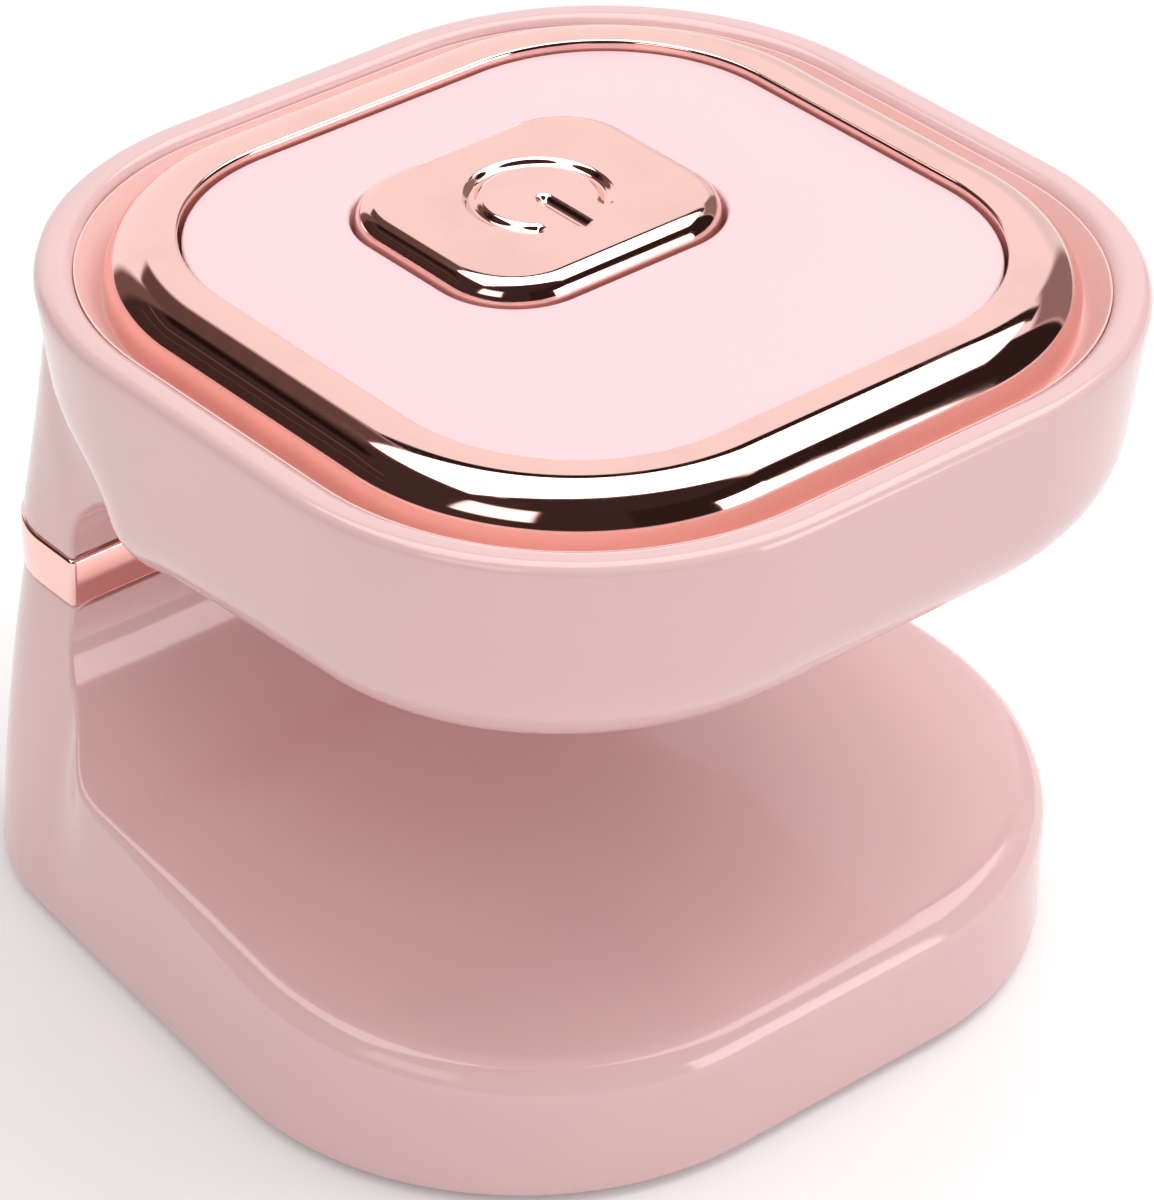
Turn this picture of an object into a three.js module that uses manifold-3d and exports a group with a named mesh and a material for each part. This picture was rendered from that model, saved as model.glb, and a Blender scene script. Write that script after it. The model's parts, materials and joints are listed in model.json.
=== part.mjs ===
// One-finger UV nail lamp: a C-shaped body with a lamp head over an open finger bay, carried by a column
// at the back. Millimetres, +Z up. +Y is the back, where the column stands, and the finger enters from -Y.
// The origin is on the table, under the middle of the whole lamp.
import * as THREE from 'three';
import { mergeVertices } from 'three/addons/utils/BufferGeometryUtils.js';
import Module from 'manifold-3d';

const wasm = await Module();
wasm.setup();

// Overall form
const HEAD_WIDTH = 81.5;
const BASE_BEHIND = 10.1;
const OVERALL_DEPTH = HEAD_WIDTH + BASE_BEHIND;
const HEAD_CORNER_RADIUS = 28.9;
const HEAD_HEIGHT = 19.9;
const HEAD_SLOPE_SHARE = 0.06;
const HEAD_TAPER = 2.3;
const HEAD_LOWER_ROUND = 8.7;
const HEAD_FILLET = 7.4;
const HEAD_FADE_LENGTH = 24.0;
const HEAD_STACK = 32.1;
const HEAD_BLEND_START = 9.2;
const HEAD_BLEND_END = 23.7;
const HEAD_BLEND_MARGIN = 2.0;
const RIM_ROUND = 1.3;
const BASE_HEIGHT = 12.1;
const BASE_SLOPE_SHARE = 0.082;
const BASE_FRONT_WIDTH = 85.0;
const BASE_BACK_WIDTH = 69.2;
const BASE_FRONT_RADIUS = 28.6;
const BASE_BACK_RADIUS = 20.5;
const BASE_SETBACK = 7.7;
const BASE_UPPER_ROUND = 2.9;
const BASE_LOWER_ROUND = 0.8;
const BASE_FILLET = 12.5;
const BASE_FADE_LENGTH = 38.4;
const COLUMN_WIDTH = 61.6;
const COLUMN_DEPTH = 12.9;
const COLUMN_SETBACK = 6.5;
const COLUMN_RADIUS = 8.3;
const COLUMN_EDGE_ROUND = 0.4;
const COLUMN_SIDE_SPREAD = 1.3;
const COLUMN_BLEND_LENGTH = 9.4;
const NECK_HEIGHT = 29.4;
const LEAN_BOW_SHARE = 0.5;

// Walls, clearances and cuts
const HEAD_WALL = 3.3;
const BASE_WALL = 2.2;
const BAY_WALL = 2.0;
const FIT_GAP = 0.3;
const SCREW_GAP = 0.15;
const OVERRUN = 1.0;

// Trim band round the column
const BAND_HEIGHT = 4.7;
const BAND_PROUD = 0.2;
const BAND_WALL = 1.6;

// Bezel ring, top panel and the frame that carries them
const RECESS_GAP = 2.45;
const RING_WIDTH = 6.2;
const RING_GAP = 0.3;
const PANEL_MARGIN = HEAD_WALL + RECESS_GAP + RING_WIDTH + RING_GAP;
const PANEL_WIDTH = HEAD_WIDTH - 2 * PANEL_MARGIN;
const PANEL_RADIUS = HEAD_CORNER_RADIUS - PANEL_MARGIN;
const PANEL_THICKNESS = 2.2;
const PANEL_PROUD = 1.55;
const PANEL_EDGE_ROUND = 0.25;
const RING_CREST = 0.75;
const RING_LIP_WIDTH = 1.8;
const RING_LIP_ROUND = 0.35;
const RING_ROLL_HEIGHT = 4.0;
const RECESS_DEPTH = 3.1;
const CARRIER_THICKNESS = 2.0;
const CARRIER_POCKET_MARGIN = 3.3;

// Button
const BUTTON_HOLE_WIDTH = 28.0;
const BUTTON_HOLE_DEPTH = 24.2;
const BUTTON_HOLE_RADIUS = 7.4;
const BUTTON_GAP = 0.4;
const BUTTON_OFFSET = 6.7;
const BUTTON_PROUD = 1.67;
const BUTTON_ROUND = 2.0;
const BUTTON_WALL = 1.6;
const BUTTON_FLANGE = 1.0;
const BUTTON_FLANGE_THICKNESS = 1.2;
const BUTTON_STEM_RADIUS = 3.0;
const BUTTON_TRAVEL = 0.5;
const SYMBOL_RADIUS = 5.55;
const SYMBOL_STROKE = 1.3;
const SYMBOL_DEPTH = 0.45;
const SYMBOL_BAR = 6.6;
const SYMBOL_GAP_DEG = 42;

// Lamp under the head
const WINDOW_WIDTH = 28.0;
const WINDOW_DEPTH = 27.0;
const WINDOW_RADIUS = 5.0;
const WINDOW_SHIFT = 3.0;
const LENS_FLANGE = 1.8;
const LENS_FLANGE_THICKNESS = 1.2;
const LENS_SINK = 0.4;
const WINDOW_PAD_RISE = 0.3;
const REFLECTOR_HEIGHT = 2.6;
const REFLECTOR_HOLE_RADIUS = 3.4;
const REFLECTOR_MOUTH_RADIUS = 4.4;
const LED_ROWS = 2;
const LED_COLUMNS = 3;
const LED_PITCH_X = 9.2;
const LED_PITCH_Y = 13.0;
const LED_SIZE = 3.5;
const LED_HEIGHT = 1.2;
const LED_DOME_RADIUS = 1.4;
const LED_DOME_HEIGHT = 0.7;
const LED_DOME_SHOULDER_SHARE = 0.7;
const LED_BOARD_THICKNESS = 1.2;
const LED_BOARD_EAR = 4.2;
const LED_BOSS_RADIUS = 1.9;

// Control board in the head
const BOARD_THICKNESS = 1.2;
const BOARD_LIFT = 7.6;
const BOARD_MARGIN = 14.75;
const BOARD_WIDTH = HEAD_WIDTH - 2 * BOARD_MARGIN;
const BOARD_DEPTH = 28.0;
const BOARD_SHIFT = 1.0;
const BOARD_EDGE_INSET = 3.0;
const BOARD_CORNER = 3.0;
const BOARD_CORNER_STEPS = 3;
const POST_RADIUS = 2.5;
const CHIP_LENGTH = 6.2;
const CHIP_WIDTH = 5.0;
const CHIP_HEIGHT = 1.5;
const CHIP_REACH = 12.0;
const CHIP_SHIFT = 7.0;
const COIL_REACH = 20.0;
const COIL_SHIFT = 4.0;
const INDUCTOR_WIDTH = 7.0;
const INDUCTOR_HEIGHT = 3.2;
const INDUCTOR_CORE_RADIUS = 2.4;
const INDUCTOR_BASE_SHARE = 0.4;
const CAPACITOR_RADIUS = 2.5;
const CAPACITOR_HEIGHT = 5.0;
const SWITCH_WIDTH = 6.0;
const SWITCH_BODY_HEIGHT = 3.4;
const PLUNGER_RADIUS = 1.6;
const PLUNGER_PROUD = 0.9;
const PLUNGER_DEPTH = 0.8;
const PLUNGER_GAP = 0.1;

// Base cover, feet and fasteners
const COVER_THICKNESS = 1.8;
const COVER_RECESS = 0.3;
const COVER_SCREW_FRONT_SIDE = 12.5;
const COVER_SCREW_FRONT_INSET = 30.0;
const COVER_SCREW_BACK_SIDE = 9.6;
const COVER_SCREW_BACK_INSET = 25.8;
const FOOT_PROUD = 0.8;
const FOOT_RADIUS = 4.0;
const FOOT_SEAT = 0.8;
const FOOT_CHAMFER = 0.4;
const FOOT_FRONT_SIDE = 21.5;
const FOOT_FRONT_INSET = 15.1;
const FOOT_BACK_SIDE = 16.6;
const FOOT_BACK_INSET = 14.8;
const SCREW_SHAFT_RADIUS = 1.1;
const SCREW_HEAD_RADIUS = 2.2;
const SCREW_HEAD_HEIGHT = 1.0;
const SCREW_HEAD_CHAMFER = 0.3;
const SCREW_LENGTH = 5.0;
const SCREW_RECESS_RADIUS = 1.0;
const SCREW_RECESS_DEPTH = 0.5;
const BOSS_RADIUS = 3.0;
const SMALL_SCREW_SHAFT_RADIUS = 0.8;
const SMALL_SCREW_HEAD_RADIUS = 1.5;
const SMALL_SCREW_HEAD_HEIGHT = 0.8;
const SMALL_SCREW_LENGTH = 3.4;
const CARRIER_SCREW_SINK = 1.0;
const LONG_SCREW_SHAFT_RADIUS = 1.4;
const LONG_SCREW_HEAD_RADIUS = 2.6;
const LONG_SCREW_GRIP = 6.0;
const LONG_SCREW_BITE = 7.0;
const LONG_SCREW_SPACING = 40.0;
const LONG_SCREW_BLOCK_WIDTH = 10.0;

// Power inlet and wires
const SOCKET_WIDTH = 8.9;
const SOCKET_HEIGHT = 3.2;
const SOCKET_LENGTH = 7.3;
const SOCKET_WALL = 0.3;
const SOCKET_SINK = 0.7;
const TONGUE_WIDTH = 6.6;
const TONGUE_THICKNESS = 0.7;
const TONGUE_SETBACK = 0.8;
const SOCKET_BACK_THICKNESS = 1.5;
const SOCKET_OVERHANG = 1.4;
const USB_BOARD_WIDTH = 18.0;
const USB_BOARD_LENGTH = 17.0;
const USB_BOARD_THICKNESS = 1.0;
const USB_BOARD_LIFT = 1.7;
const USB_RIB_WIDTH = 2.0;
const USB_RIB_LENGTH = 5.0;
const WIRE_RADIUS = 0.75;
const WIRE_SPACING = 8.0;
const WIRE_BEND = 3.5;
const WIRE_DROP_SHARE = 0.3;
const WIRE_REACH_SHARE = 0.9;

// Fineness
const CORNER_STEPS = 7;
const ROUND_STEPS = 4;
const FILLET_STEPS = 6;
const SIDE_STEPS = 2;
const TURN_STEPS = 4;
const FRONT_STEPS = 6;
const NECK_STEPS = 3;
const BACK_STEPS = 22;
const FIRST_ROW_SHARE = 0.25;
const ROW_STEPS = 5;
const INNER_ROW_STEPS = 3;
const BUTTON_STEPS = 4;
const WIRE_STEPS = 26;
const WIRE_SIDES = 8;
const RING_STEPS = 7;
const BEVEL_STEPS = 3;
const SYMBOL_STEPS = 10;
const SOCKET_STEPS = 6;
const SCREW_SIDES = 10;
const FINE_SIDES = 20;
const SETTLE_STEPS = 3;

// Levels, from the table up
const Z_BASE = FOOT_PROUD;
const Z_COVER = Z_BASE + COVER_RECESS;
const Z_COVER_TOP = Z_COVER + COVER_THICKNESS;
const Z_BASE_TOP = Z_BASE + BASE_HEIGHT;
const Z_BAND = Z_BASE + NECK_HEIGHT;
const Z_BAND_TOP = Z_BAND + BAND_HEIGHT;
const Z_RIM = Z_BAND_TOP + HEAD_STACK;
const Z_PANEL = Z_RIM + PANEL_PROUD;
const Z_PANEL_SEAT = Z_PANEL - PANEL_THICKNESS;
const Z_CARRIER_TOP = Z_RIM - RECESS_DEPTH;
const Z_CARRIER = Z_CARRIER_TOP - CARRIER_THICKNESS;
const Z_POCKET = Z_PANEL_SEAT - CARRIER_THICKNESS;
const Z_BUTTON_TOP = Z_PANEL + BUTTON_PROUD;
// Places in plan
const Y_BACK = OVERALL_DEPTH / 2;
const Y_HEAD_FRONT = -OVERALL_DEPTH / 2;
const Y_HEAD = Y_HEAD_FRONT + HEAD_WIDTH / 2;
const Y_BASE_FRONT = Y_HEAD_FRONT + BASE_SETBACK;
const Y_COLUMN_BACK = Y_BACK - COLUMN_SETBACK;
const Y_INNER_FACE = Y_COLUMN_BACK - COLUMN_DEPTH;
const Y_COLUMN = Y_COLUMN_BACK - COLUMN_DEPTH / 2;
const Y_HUB = Y_HEAD + HEAD_WIDTH / 2 - HEAD_CORNER_RADIUS;
const Y_BUTTON = Y_HEAD + BUTTON_OFFSET;
const Y_WINDOW = Y_HEAD - WINDOW_SHIFT;
const Y_BOARD = Y_BUTTON - BOARD_SHIFT;
const Y_PAD_FRONT = Y_WINDOW - WINDOW_DEPTH / 2 - LENS_FLANGE;

// The bay's two flat faces: how far the upper one lies below the rim, and the lower one above the base's underside
const headDrop = (y) => HEAD_HEIGHT + HEAD_SLOPE_SHARE * (y - Y_HEAD_FRONT);
const baseRise = (y) => BASE_HEIGHT + BASE_SLOPE_SHARE * (y - Y_BASE_FRONT);

// Levels inside the head and the base, from the faces that carry them
const Z_BAY_CORNER = Z_RIM - headDrop(Y_INNER_FACE);
const Z_LENS = Z_RIM - headDrop(Y_WINDOW - WINDOW_DEPTH / 2) + LENS_SINK;
const Z_FLOOR = Z_RIM - headDrop(Y_PAD_FRONT) + BAY_WALL + WINDOW_PAD_RISE;
const Z_LED_SEAT = Z_FLOOR + LENS_FLANGE_THICKNESS + REFLECTOR_HEIGHT;
const Z_BOARD = Z_FLOOR + BOARD_LIFT;
const Z_BOARD_TOP = Z_BOARD + BOARD_THICKNESS;
const Z_SWITCH_TOP = Z_BOARD_TOP + SWITCH_BODY_HEIGHT;
const Z_PLUNGER_TOP = Z_SWITCH_TOP + PLUNGER_PROUD;
const Z_USB_BOARD = Z_COVER_TOP + USB_BOARD_LIFT;
const Z_USB_BOARD_TOP = Z_USB_BOARD + USB_BOARD_THICKNESS;
const Z_SOCKET = Z_USB_BOARD_TOP + SOCKET_HEIGHT / 2;
const Z_WIRE = Z_BOARD_TOP + WIRE_RADIUS + FIT_GAP;

// How far the wall behind has gone from the base's plan to the column's, at a height above the base's underside
function leanShare(height) {
  const share = THREE.MathUtils.clamp(height / NECK_HEIGHT, 0, 1);
  return share * THREE.MathUtils.lerp(1 - LEAN_BOW_SHARE, 1, share);
}

const Y_SOCKET_END = THREE.MathUtils.lerp(Y_BACK, Y_COLUMN_BACK, leanShare(Z_SOCKET - Z_BASE)) - SOCKET_SINK;
const Y_SOCKET_START = Y_SOCKET_END - SOCKET_LENGTH;
const Y_USB_BOARD = Y_SOCKET_END - SOCKET_OVERHANG - USB_BOARD_LENGTH / 2;

// Finishes
const finish = (color, roughness, metalness) => new THREE.MeshStandardMaterial({ color, roughness, metalness });
const PINK_GLOSS = finish(0xf7d5d6, 0.22, 0);
const PINK_PANEL = finish(0xfadfe3, 0.3, 0);
const PINK_MATTE = finish(0xe9c2c2, 0.6, 0);
const ROSE_GOLD = finish(0xf3b4a3, 0.12, 1);
const STEEL = finish(0xb9bcc0, 0.35, 1);
const CHROME = finish(0xd9dce0, 0.15, 1);
const RUBBER = finish(0x5a5354, 0.85, 0);
const WHITE_BOARD = finish(0xf2f2ee, 0.5, 0);
const GREEN_BOARD = finish(0x2f6b45, 0.5, 0);
const BLACK_PLASTIC = finish(0x222326, 0.5, 0);
const LED_PLASTIC = finish(0xe8e0f4, 0.3, 0);
const CLEAR = finish(0xe9e4f2, 0.1, 0);
const RED_PVC = finish(0xb02a2a, 0.45, 0);

// Plans: a four-sided outline, alike left and right, with rounded corners
const plan = (frontHalf, backHalf, yFront, yBack, frontRadius, backRadius) =>
  ({ frontHalf, backHalf, yFront, yBack, frontRadius, backRadius });

const roundedRectangle = (width, depth, radius, y) =>
  plan(width / 2, width / 2, y - depth / 2, y + depth / 2, radius, radius);

function insetPlan(p, by) {
  const least = COLUMN_EDGE_ROUND;
  return plan(
    p.frontHalf - by,
    p.backHalf - by,
    p.yFront + by,
    p.yBack - by,
    Math.max(p.frontRadius - by, least),
    Math.max(p.backRadius - by, least),
  );
}

function mixPlans(a, b, share) {
  const mix = (key) => THREE.MathUtils.lerp(a[key], b[key], share);
  return plan(
    mix('frontHalf'),
    mix('backHalf'),
    mix('yFront'),
    mix('yBack'),
    mix('frontRadius'),
    mix('backRadius'),
  );
}

// The corner centres of a plan's right half, and the inward normal of its leaning side
function corners(p) {
  const side = new THREE.Vector2(p.backHalf - p.frontHalf, p.yBack - p.yFront).normalize();
  const normal = new THREE.Vector2(-side.y, side.x);
  const front = new THREE.Vector2(
    p.frontHalf + (p.frontRadius * (1 - normal.y)) / normal.x,
    p.yFront + p.frontRadius,
  );
  const back = new THREE.Vector2(
    p.backHalf + (p.backRadius * (1 + normal.y)) / normal.x,
    p.yBack - p.backRadius,
  );
  return { front, back, normal };
}

// The distance from a hub on the middle line to a plan's outline, in a direction given by its angle from +X
function reach(p, yHub, angle) {
  const dx = Math.abs(Math.cos(angle));
  const dy = Math.sin(angle);
  const { front, back, normal } = corners(p);
  const flat = dy < 0 ? (p.yFront - yHub) / dy : (p.yBack - yHub) / dy;
  const limit = dy < 0 ? front.x : back.x;
  if (dy !== 0 && flat * dx <= limit) return flat;
  const slant = ((p.frontHalf * normal.x) + (p.yFront - yHub) * normal.y) / (dx * normal.x + dy * normal.y);
  const y = yHub + slant * dy;
  const low = front.y - normal.y * p.frontRadius;
  const high = back.y - normal.y * p.backRadius;
  if (y >= low && y <= high) return slant;
  const centre = y < low ? front : back;
  const radius = y < low ? p.frontRadius : p.backRadius;
  const along = centre.x * dx + (centre.y - yHub) * dy;
  const apart = centre.x ** 2 + (centre.y - yHub) ** 2 - radius ** 2;
  return along + Math.sqrt(Math.max(along ** 2 - apart, 0));
}

// The points of a plan, anticlockwise from the middle of its front
function outlineOf(p, steps = CORNER_STEPS) {
  const { front, back, normal } = corners(p);
  const lean = Math.asin(normal.y);
  const right = [];
  for (let i = 0; i <= steps; i += 1) {
    const angle = THREE.MathUtils.lerp(-Math.PI / 2, -lean, i / steps);
    right.push([front.x + p.frontRadius * Math.cos(angle), front.y + p.frontRadius * Math.sin(angle)]);
  }
  for (let i = 0; i <= steps; i += 1) {
    const angle = THREE.MathUtils.lerp(-lean, Math.PI / 2, i / steps);
    right.push([back.x + p.backRadius * Math.cos(angle), back.y + p.backRadius * Math.sin(angle)]);
  }
  const left = right.map(([x, y]) => [-x, y]).reverse();
  return [...right, ...left];
}

// Closed bodies from numbered points
class Body {
  constructor() {
    this.points = [];
    this.faces = [];
  }

  point(x, y, z) {
    this.points.push(x, y, z);
    return this.points.length / 3 - 1;
  }

  triangle(a, b, c) {
    if (a !== b && b !== c && c !== a) this.faces.push(a, b, c);
  }

  // Quads between two rows of points, facing out where the rows run anticlockwise and climb
  strip(low, high) {
    for (let i = 0; i + 1 < low.length; i += 1) {
      this.triangle(low[i], low[i + 1], high[i + 1]);
      this.triangle(low[i], high[i + 1], high[i]);
    }
  }

  fan(centre, loop) {
    loop.forEach((from, i) => this.triangle(centre, from, loop[(i + 1) % loop.length]));
  }

  geometry(flipped = false) {
    const index = [...this.faces];
    if (flipped) {
      for (let i = 0; i < index.length; i += 3) {
        [index[i + 1], index[i + 2]] = [index[i + 2], index[i + 1]];
      }
    }
    const geometry = new THREE.BufferGeometry();
    geometry.setAttribute('position', new THREE.Float32BufferAttribute(this.points, 3));
    geometry.setIndex(index);
    return geometry;
  }
}

// A closed body through level outlines, each { outline, z }, from the lowest up
function loft(levels) {
  const body = new Body();
  const rows = levels.map(({ outline, z }) => outline.map(([x, y]) => body.point(x, y, z)));
  for (let i = 0; i + 1 < rows.length; i += 1) {
    body.strip([...rows[i], rows[i][0]], [...rows[i + 1], rows[i + 1][0]]);
  }
  const middle = (outline) => outline.reduce((sum, [, y]) => sum + y, 0) / outline.length;
  const first = levels[0];
  const last = levels[levels.length - 1];
  body.fan(body.point(0, middle(first.outline), first.z), [...rows[0]].reverse());
  body.fan(body.point(0, middle(last.outline), last.z), rows[rows.length - 1]);
  return body.geometry();
}

const prism = (p, low, high, steps) =>
  loft([{ outline: outlineOf(p, steps), z: low }, { outline: outlineOf(p, steps), z: high }]);

// A ring that follows a plan: its section is a closed list of [outward, height], anticlockwise
function planRing(p, section, steps) {
  const body = new Body();
  const rows = section.map(([out, z]) =>
    outlineOf(insetPlan(p, -out), steps).map(([x, y]) => body.point(x, y, z)));
  rows.forEach((row, i) => {
    const next = rows[(i + 1) % rows.length];
    body.strip([...row, row[0]], [...next, next[0]]);
  });
  return body.geometry();
}

function upright(radius, low, high, x, y, sides = SCREW_SIDES) {
  const geometry = new THREE.CylinderGeometry(radius, radius, high - low, sides);
  geometry.rotateX(Math.PI / 2);
  return geometry.translate(x, y, (low + high) / 2);
}

function block(x, y, low, width, depth, height) {
  return new THREE.BoxGeometry(width, depth, height).translate(x, y, low + height / 2);
}

// Joining and cutting
function solid(geometry) {
  const bare = geometry.clone();
  bare.deleteAttribute('normal');
  bare.deleteAttribute('uv');
  const merged = mergeVertices(bare);
  return new wasm.Manifold(new wasm.Mesh({
    numProp: 3,
    vertProperties: merged.attributes.position.array,
    triVerts: new Uint32Array(merged.index.array),
  }));
}

function geometryOf(manifold) {
  const mesh = manifold.getMesh();
  const geometry = new THREE.BufferGeometry();
  geometry.setAttribute('position', new THREE.BufferAttribute(new Float32Array(mesh.vertProperties), 3));
  geometry.setIndex(new THREE.BufferAttribute(new Uint32Array(mesh.triVerts), 1));
  return geometry;
}

const cut = (body, pieces) => pieces.reduce((rest, piece) => rest.subtract(solid(piece)), body);
const join = (body, pieces) => pieces.reduce((whole, piece) => whole.add(solid(piece)), body);

// Mouldings
// The head and the base are made alike, the head upside down. Height runs from the open end of the tray,
// past the flat face of the bay, along the column to its free end. reachAt(height, angle) is the outer
// wall's distance from the hub. The bay keeps one profile across the lamp: a flat face that climbs towards
// the column, a fillet and the column's inner face. A point on it is given by its x and by its run from the
// start of that fillet.
function moulding({ reachAt, levelOf, flipped, openHeight, openRound, flatAt, slopeShare, neckHeight, innerFace,
  fillet, edge, fadeLength, frontPlan, roundSteps, rowSteps }) {
  const body = new Body();
  const tilt = Math.atan(slopeShare);
  const arc = fillet * (Math.PI / 2 - tilt);
  const yCentre = innerFace - fillet;
  const centreHeight = flatAt(yCentre) + fillet / Math.cos(tilt);
  const filletStart = yCentre + fillet * Math.sin(tilt);
  const startHeight = centreHeight - fillet * Math.cos(tilt);
  const place = ([x, y, height]) => body.point(x, y, levelOf(height));
  const wallPoint = (angle, height) => {
    const r = reachAt(height, angle);
    return [r * Math.cos(angle), Y_HUB + r * Math.sin(angle), height];
  };
  const angleAtY = (y, height) => {
    let low = -Math.PI / 2;
    let high = Math.PI / 2;
    let middle = 0;
    while (middle !== low && middle !== high) {
      if (wallPoint(middle, height)[1] < y) low = middle;
      else high = middle;
      middle = (low + high) / 2;
    }
    return middle;
  };
  const bayPoint = ([x, run]) => {
    if (run <= 0) return [x, filletStart + run * Math.cos(tilt), startHeight + run * Math.sin(tilt)];
    if (run >= arc) return [x, innerFace, centreHeight + run - arc];
    const turn = tilt + run / fillet;
    return [x, yCentre + fillet * Math.sin(turn), centreHeight - fillet * Math.cos(turn)];
  };
  const settled = (angle) => {
    let height = flatAt(frontPlan.yFront);
    for (let i = 0; i < SETTLE_STEPS; i += 1) {
      height = flatAt(wallPoint(angle, height)[1]);
    }
    return { angle, height, turn: tilt, flat: true };
  };

  // The bay's edge on the right, from the end of the straight front to the column's free end
  const edges = [];
  const { front, back, normal } = corners(frontPlan);
  const lean = Math.asin(normal.y);
  for (let i = 0; i <= CORNER_STEPS; i += 1) {
    const turn = THREE.MathUtils.lerp(-Math.PI / 2, -lean, i / CORNER_STEPS);
    const x = front.x + frontPlan.frontRadius * Math.cos(turn);
    const y = front.y + frontPlan.frontRadius * Math.sin(turn);
    edges.push(settled(Math.atan2(y - Y_HUB, x)));
  }
  const along = (from, to, steps) => {
    for (let i = 1; i <= steps; i += 1) {
      const y = THREE.MathUtils.lerp(from, to, i / steps);
      const height = flatAt(y);
      edges.push({ angle: angleAtY(y, height), height, turn: tilt, flat: true });
    }
  };
  const ySide = wallPoint(edges[CORNER_STEPS].angle, edges[CORNER_STEPS].height)[1];
  const yTurn = Math.min(back.y - normal.y * frontPlan.backRadius, filletStart);
  along(ySide, yTurn, SIDE_STEPS);
  if (yTurn < filletStart) along(yTurn, filletStart, TURN_STEPS);
  for (let i = 1; i <= FILLET_STEPS; i += 1) {
    const turn = THREE.MathUtils.lerp(tilt, Math.PI / 2, i / FILLET_STEPS);
    const [, y, height] = bayPoint([0, fillet * (turn - tilt)]);
    edges.push({ angle: angleAtY(y, height), height, turn });
  }
  const filletEnd = edges.length - 1;
  for (let i = 1; i <= NECK_STEPS; i += 1) {
    const height = THREE.MathUtils.lerp(centreHeight, neckHeight, i / NECK_STEPS);
    edges.push({ angle: angleAtY(innerFace, height), height, turn: Math.PI / 2 });
  }
  for (const e of edges) {
    e.corner = wallPoint(e.angle, e.height);
    const [, y] = e.corner;
    const climbed = Math.max(e.height - centreHeight, 0);
    e.run = e.flat ? (y - filletStart) / Math.cos(tilt) : fillet * (e.turn - tilt) + climbed;
    const fade = THREE.MathUtils.smoothstep(y, innerFace - fadeLength, innerFace);
    e.round = THREE.MathUtils.lerp(edge, COLUMN_EDGE_ROUND, fade);
  }
  edges.forEach((e, i) => {
    const before = edges[Math.max(i - 1, 0)];
    const after = edges[Math.min(i + 1, edges.length - 1)];
    const course = new THREE.Vector2(after.corner[0] - before.corner[0], after.run - before.run).normalize();
    const inward = i === 0 ? new THREE.Vector2(0, 1) : new THREE.Vector2(-course.y, course.x);
    e.bay = [e.corner[0] + inward.x * e.round, e.run + inward.y * e.round];
    const y = e.corner[1] + e.round * Math.sin(e.turn);
    e.below = e.flat
      ? (height) => wallPoint(e.angle, height)
      : (height) => wallPoint(angleAtY(y, height), height);
    e.wall = e.below(e.height - e.round * Math.cos(e.turn));
  });

  // The whole edge, from the column's end on the left, round the front, to its end on the right
  const mirrored = ([x, ...rest]) => [-x, ...rest];
  const left = edges.map((e) => ({
    corner: mirrored(e.corner),
    bay: mirrored(e.bay),
    wall: mirrored(e.wall),
    below: (height) => mirrored(e.below(height)),
  })).reverse();
  const straight = [];
  for (let i = 1; i < FRONT_STEPS; i += 1) {
    const across = ([x, ...rest]) => [THREE.MathUtils.lerp(-x, x, i / FRONT_STEPS), ...rest];
    const [first] = edges;
    straight.push({
      corner: across(first.corner),
      bay: across(first.bay),
      wall: across(first.wall),
      below: (height) => across(first.below(height)),
    });
  }
  const whole = [...left, ...straight, ...edges];
  const count = edges.length;
  const rightStart = whole.length - count;

  // The rounded edge, from the outer wall over to the bay
  const rounds = [];
  for (let k = 0; k <= roundSteps; k += 1) {
    const s = k / roundSteps;
    const shares = [(1 - s) ** 2, 2 * Math.SQRT1_2 * s * (1 - s), s ** 2];
    const sum = shares[0] + shares[1] + shares[2];
    rounds.push(whole.map(({ corner, bay, wall }) => {
      const onBay = bayPoint(bay);
      return place(wall.map((value, axis) =>
        (shares[0] * value + shares[1] * corner[axis] + shares[2] * onBay[axis]) / sum));
    }));
  }
  for (let k = 0; k < roundSteps; k += 1) body.strip(rounds[k], rounds[k + 1]);
  const bayEdge = rounds[roundSteps];

  // The outer wall below that edge, at the front and the sides
  const heightsTo = (top) => {
    const heights = [openHeight, openHeight + openRound * FIRST_ROW_SHARE, openHeight + openRound];
    for (let i = 1; i < rowSteps; i += 1) {
      heights.push(THREE.MathUtils.lerp(openHeight + openRound, top, i / rowSteps));
    }
    return heights;
  };
  const walls = whole.slice(NECK_STEPS, whole.length - NECK_STEPS);
  const rowCount = heightsTo(neckHeight).length;
  const frontRows = [];
  for (let r = 0; r < rowCount; r += 1) {
    frontRows.push(walls.map((column) => place(column.below(heightsTo(column.wall[2])[r]))));
  }
  frontRows.push(rounds[0].slice(NECK_STEPS, whole.length - NECK_STEPS));
  for (let r = 0; r < rowCount; r += 1) body.strip(frontRows[r], frontRows[r + 1]);

  // The outer wall behind, from the right round the back to the left, and on up the column
  const { wall: sideTop } = edges[filletEnd];
  const backHeights = [...heightsTo(sideTop[2]), sideTop[2]];
  edges.slice(filletEnd + 1).forEach((e) => backHeights.push(e.height));
  const backRows = backHeights.map((height, r) => {
    const climbed = Math.max(r - rowCount, 0);
    const source = climbed ? rounds[0] : [...Array(NECK_STEPS), ...frontRows[r]];
    const ends = [source[rightStart + filletEnd + climbed], source[NECK_STEPS - climbed]];
    const start = angleAtY(edges[filletEnd + climbed].wall[1], height);
    const row = [ends[0]];
    for (let i = 1; i < BACK_STEPS; i += 1) {
      const angle = THREE.MathUtils.lerp(start, Math.PI - start, i / BACK_STEPS);
      row.push(place(wallPoint(angle, height)));
    }
    return [...row, ends[1]];
  });
  for (let r = 0; r + 1 < backRows.length; r += 1) body.strip(backRows[r], backRows[r + 1]);

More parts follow.
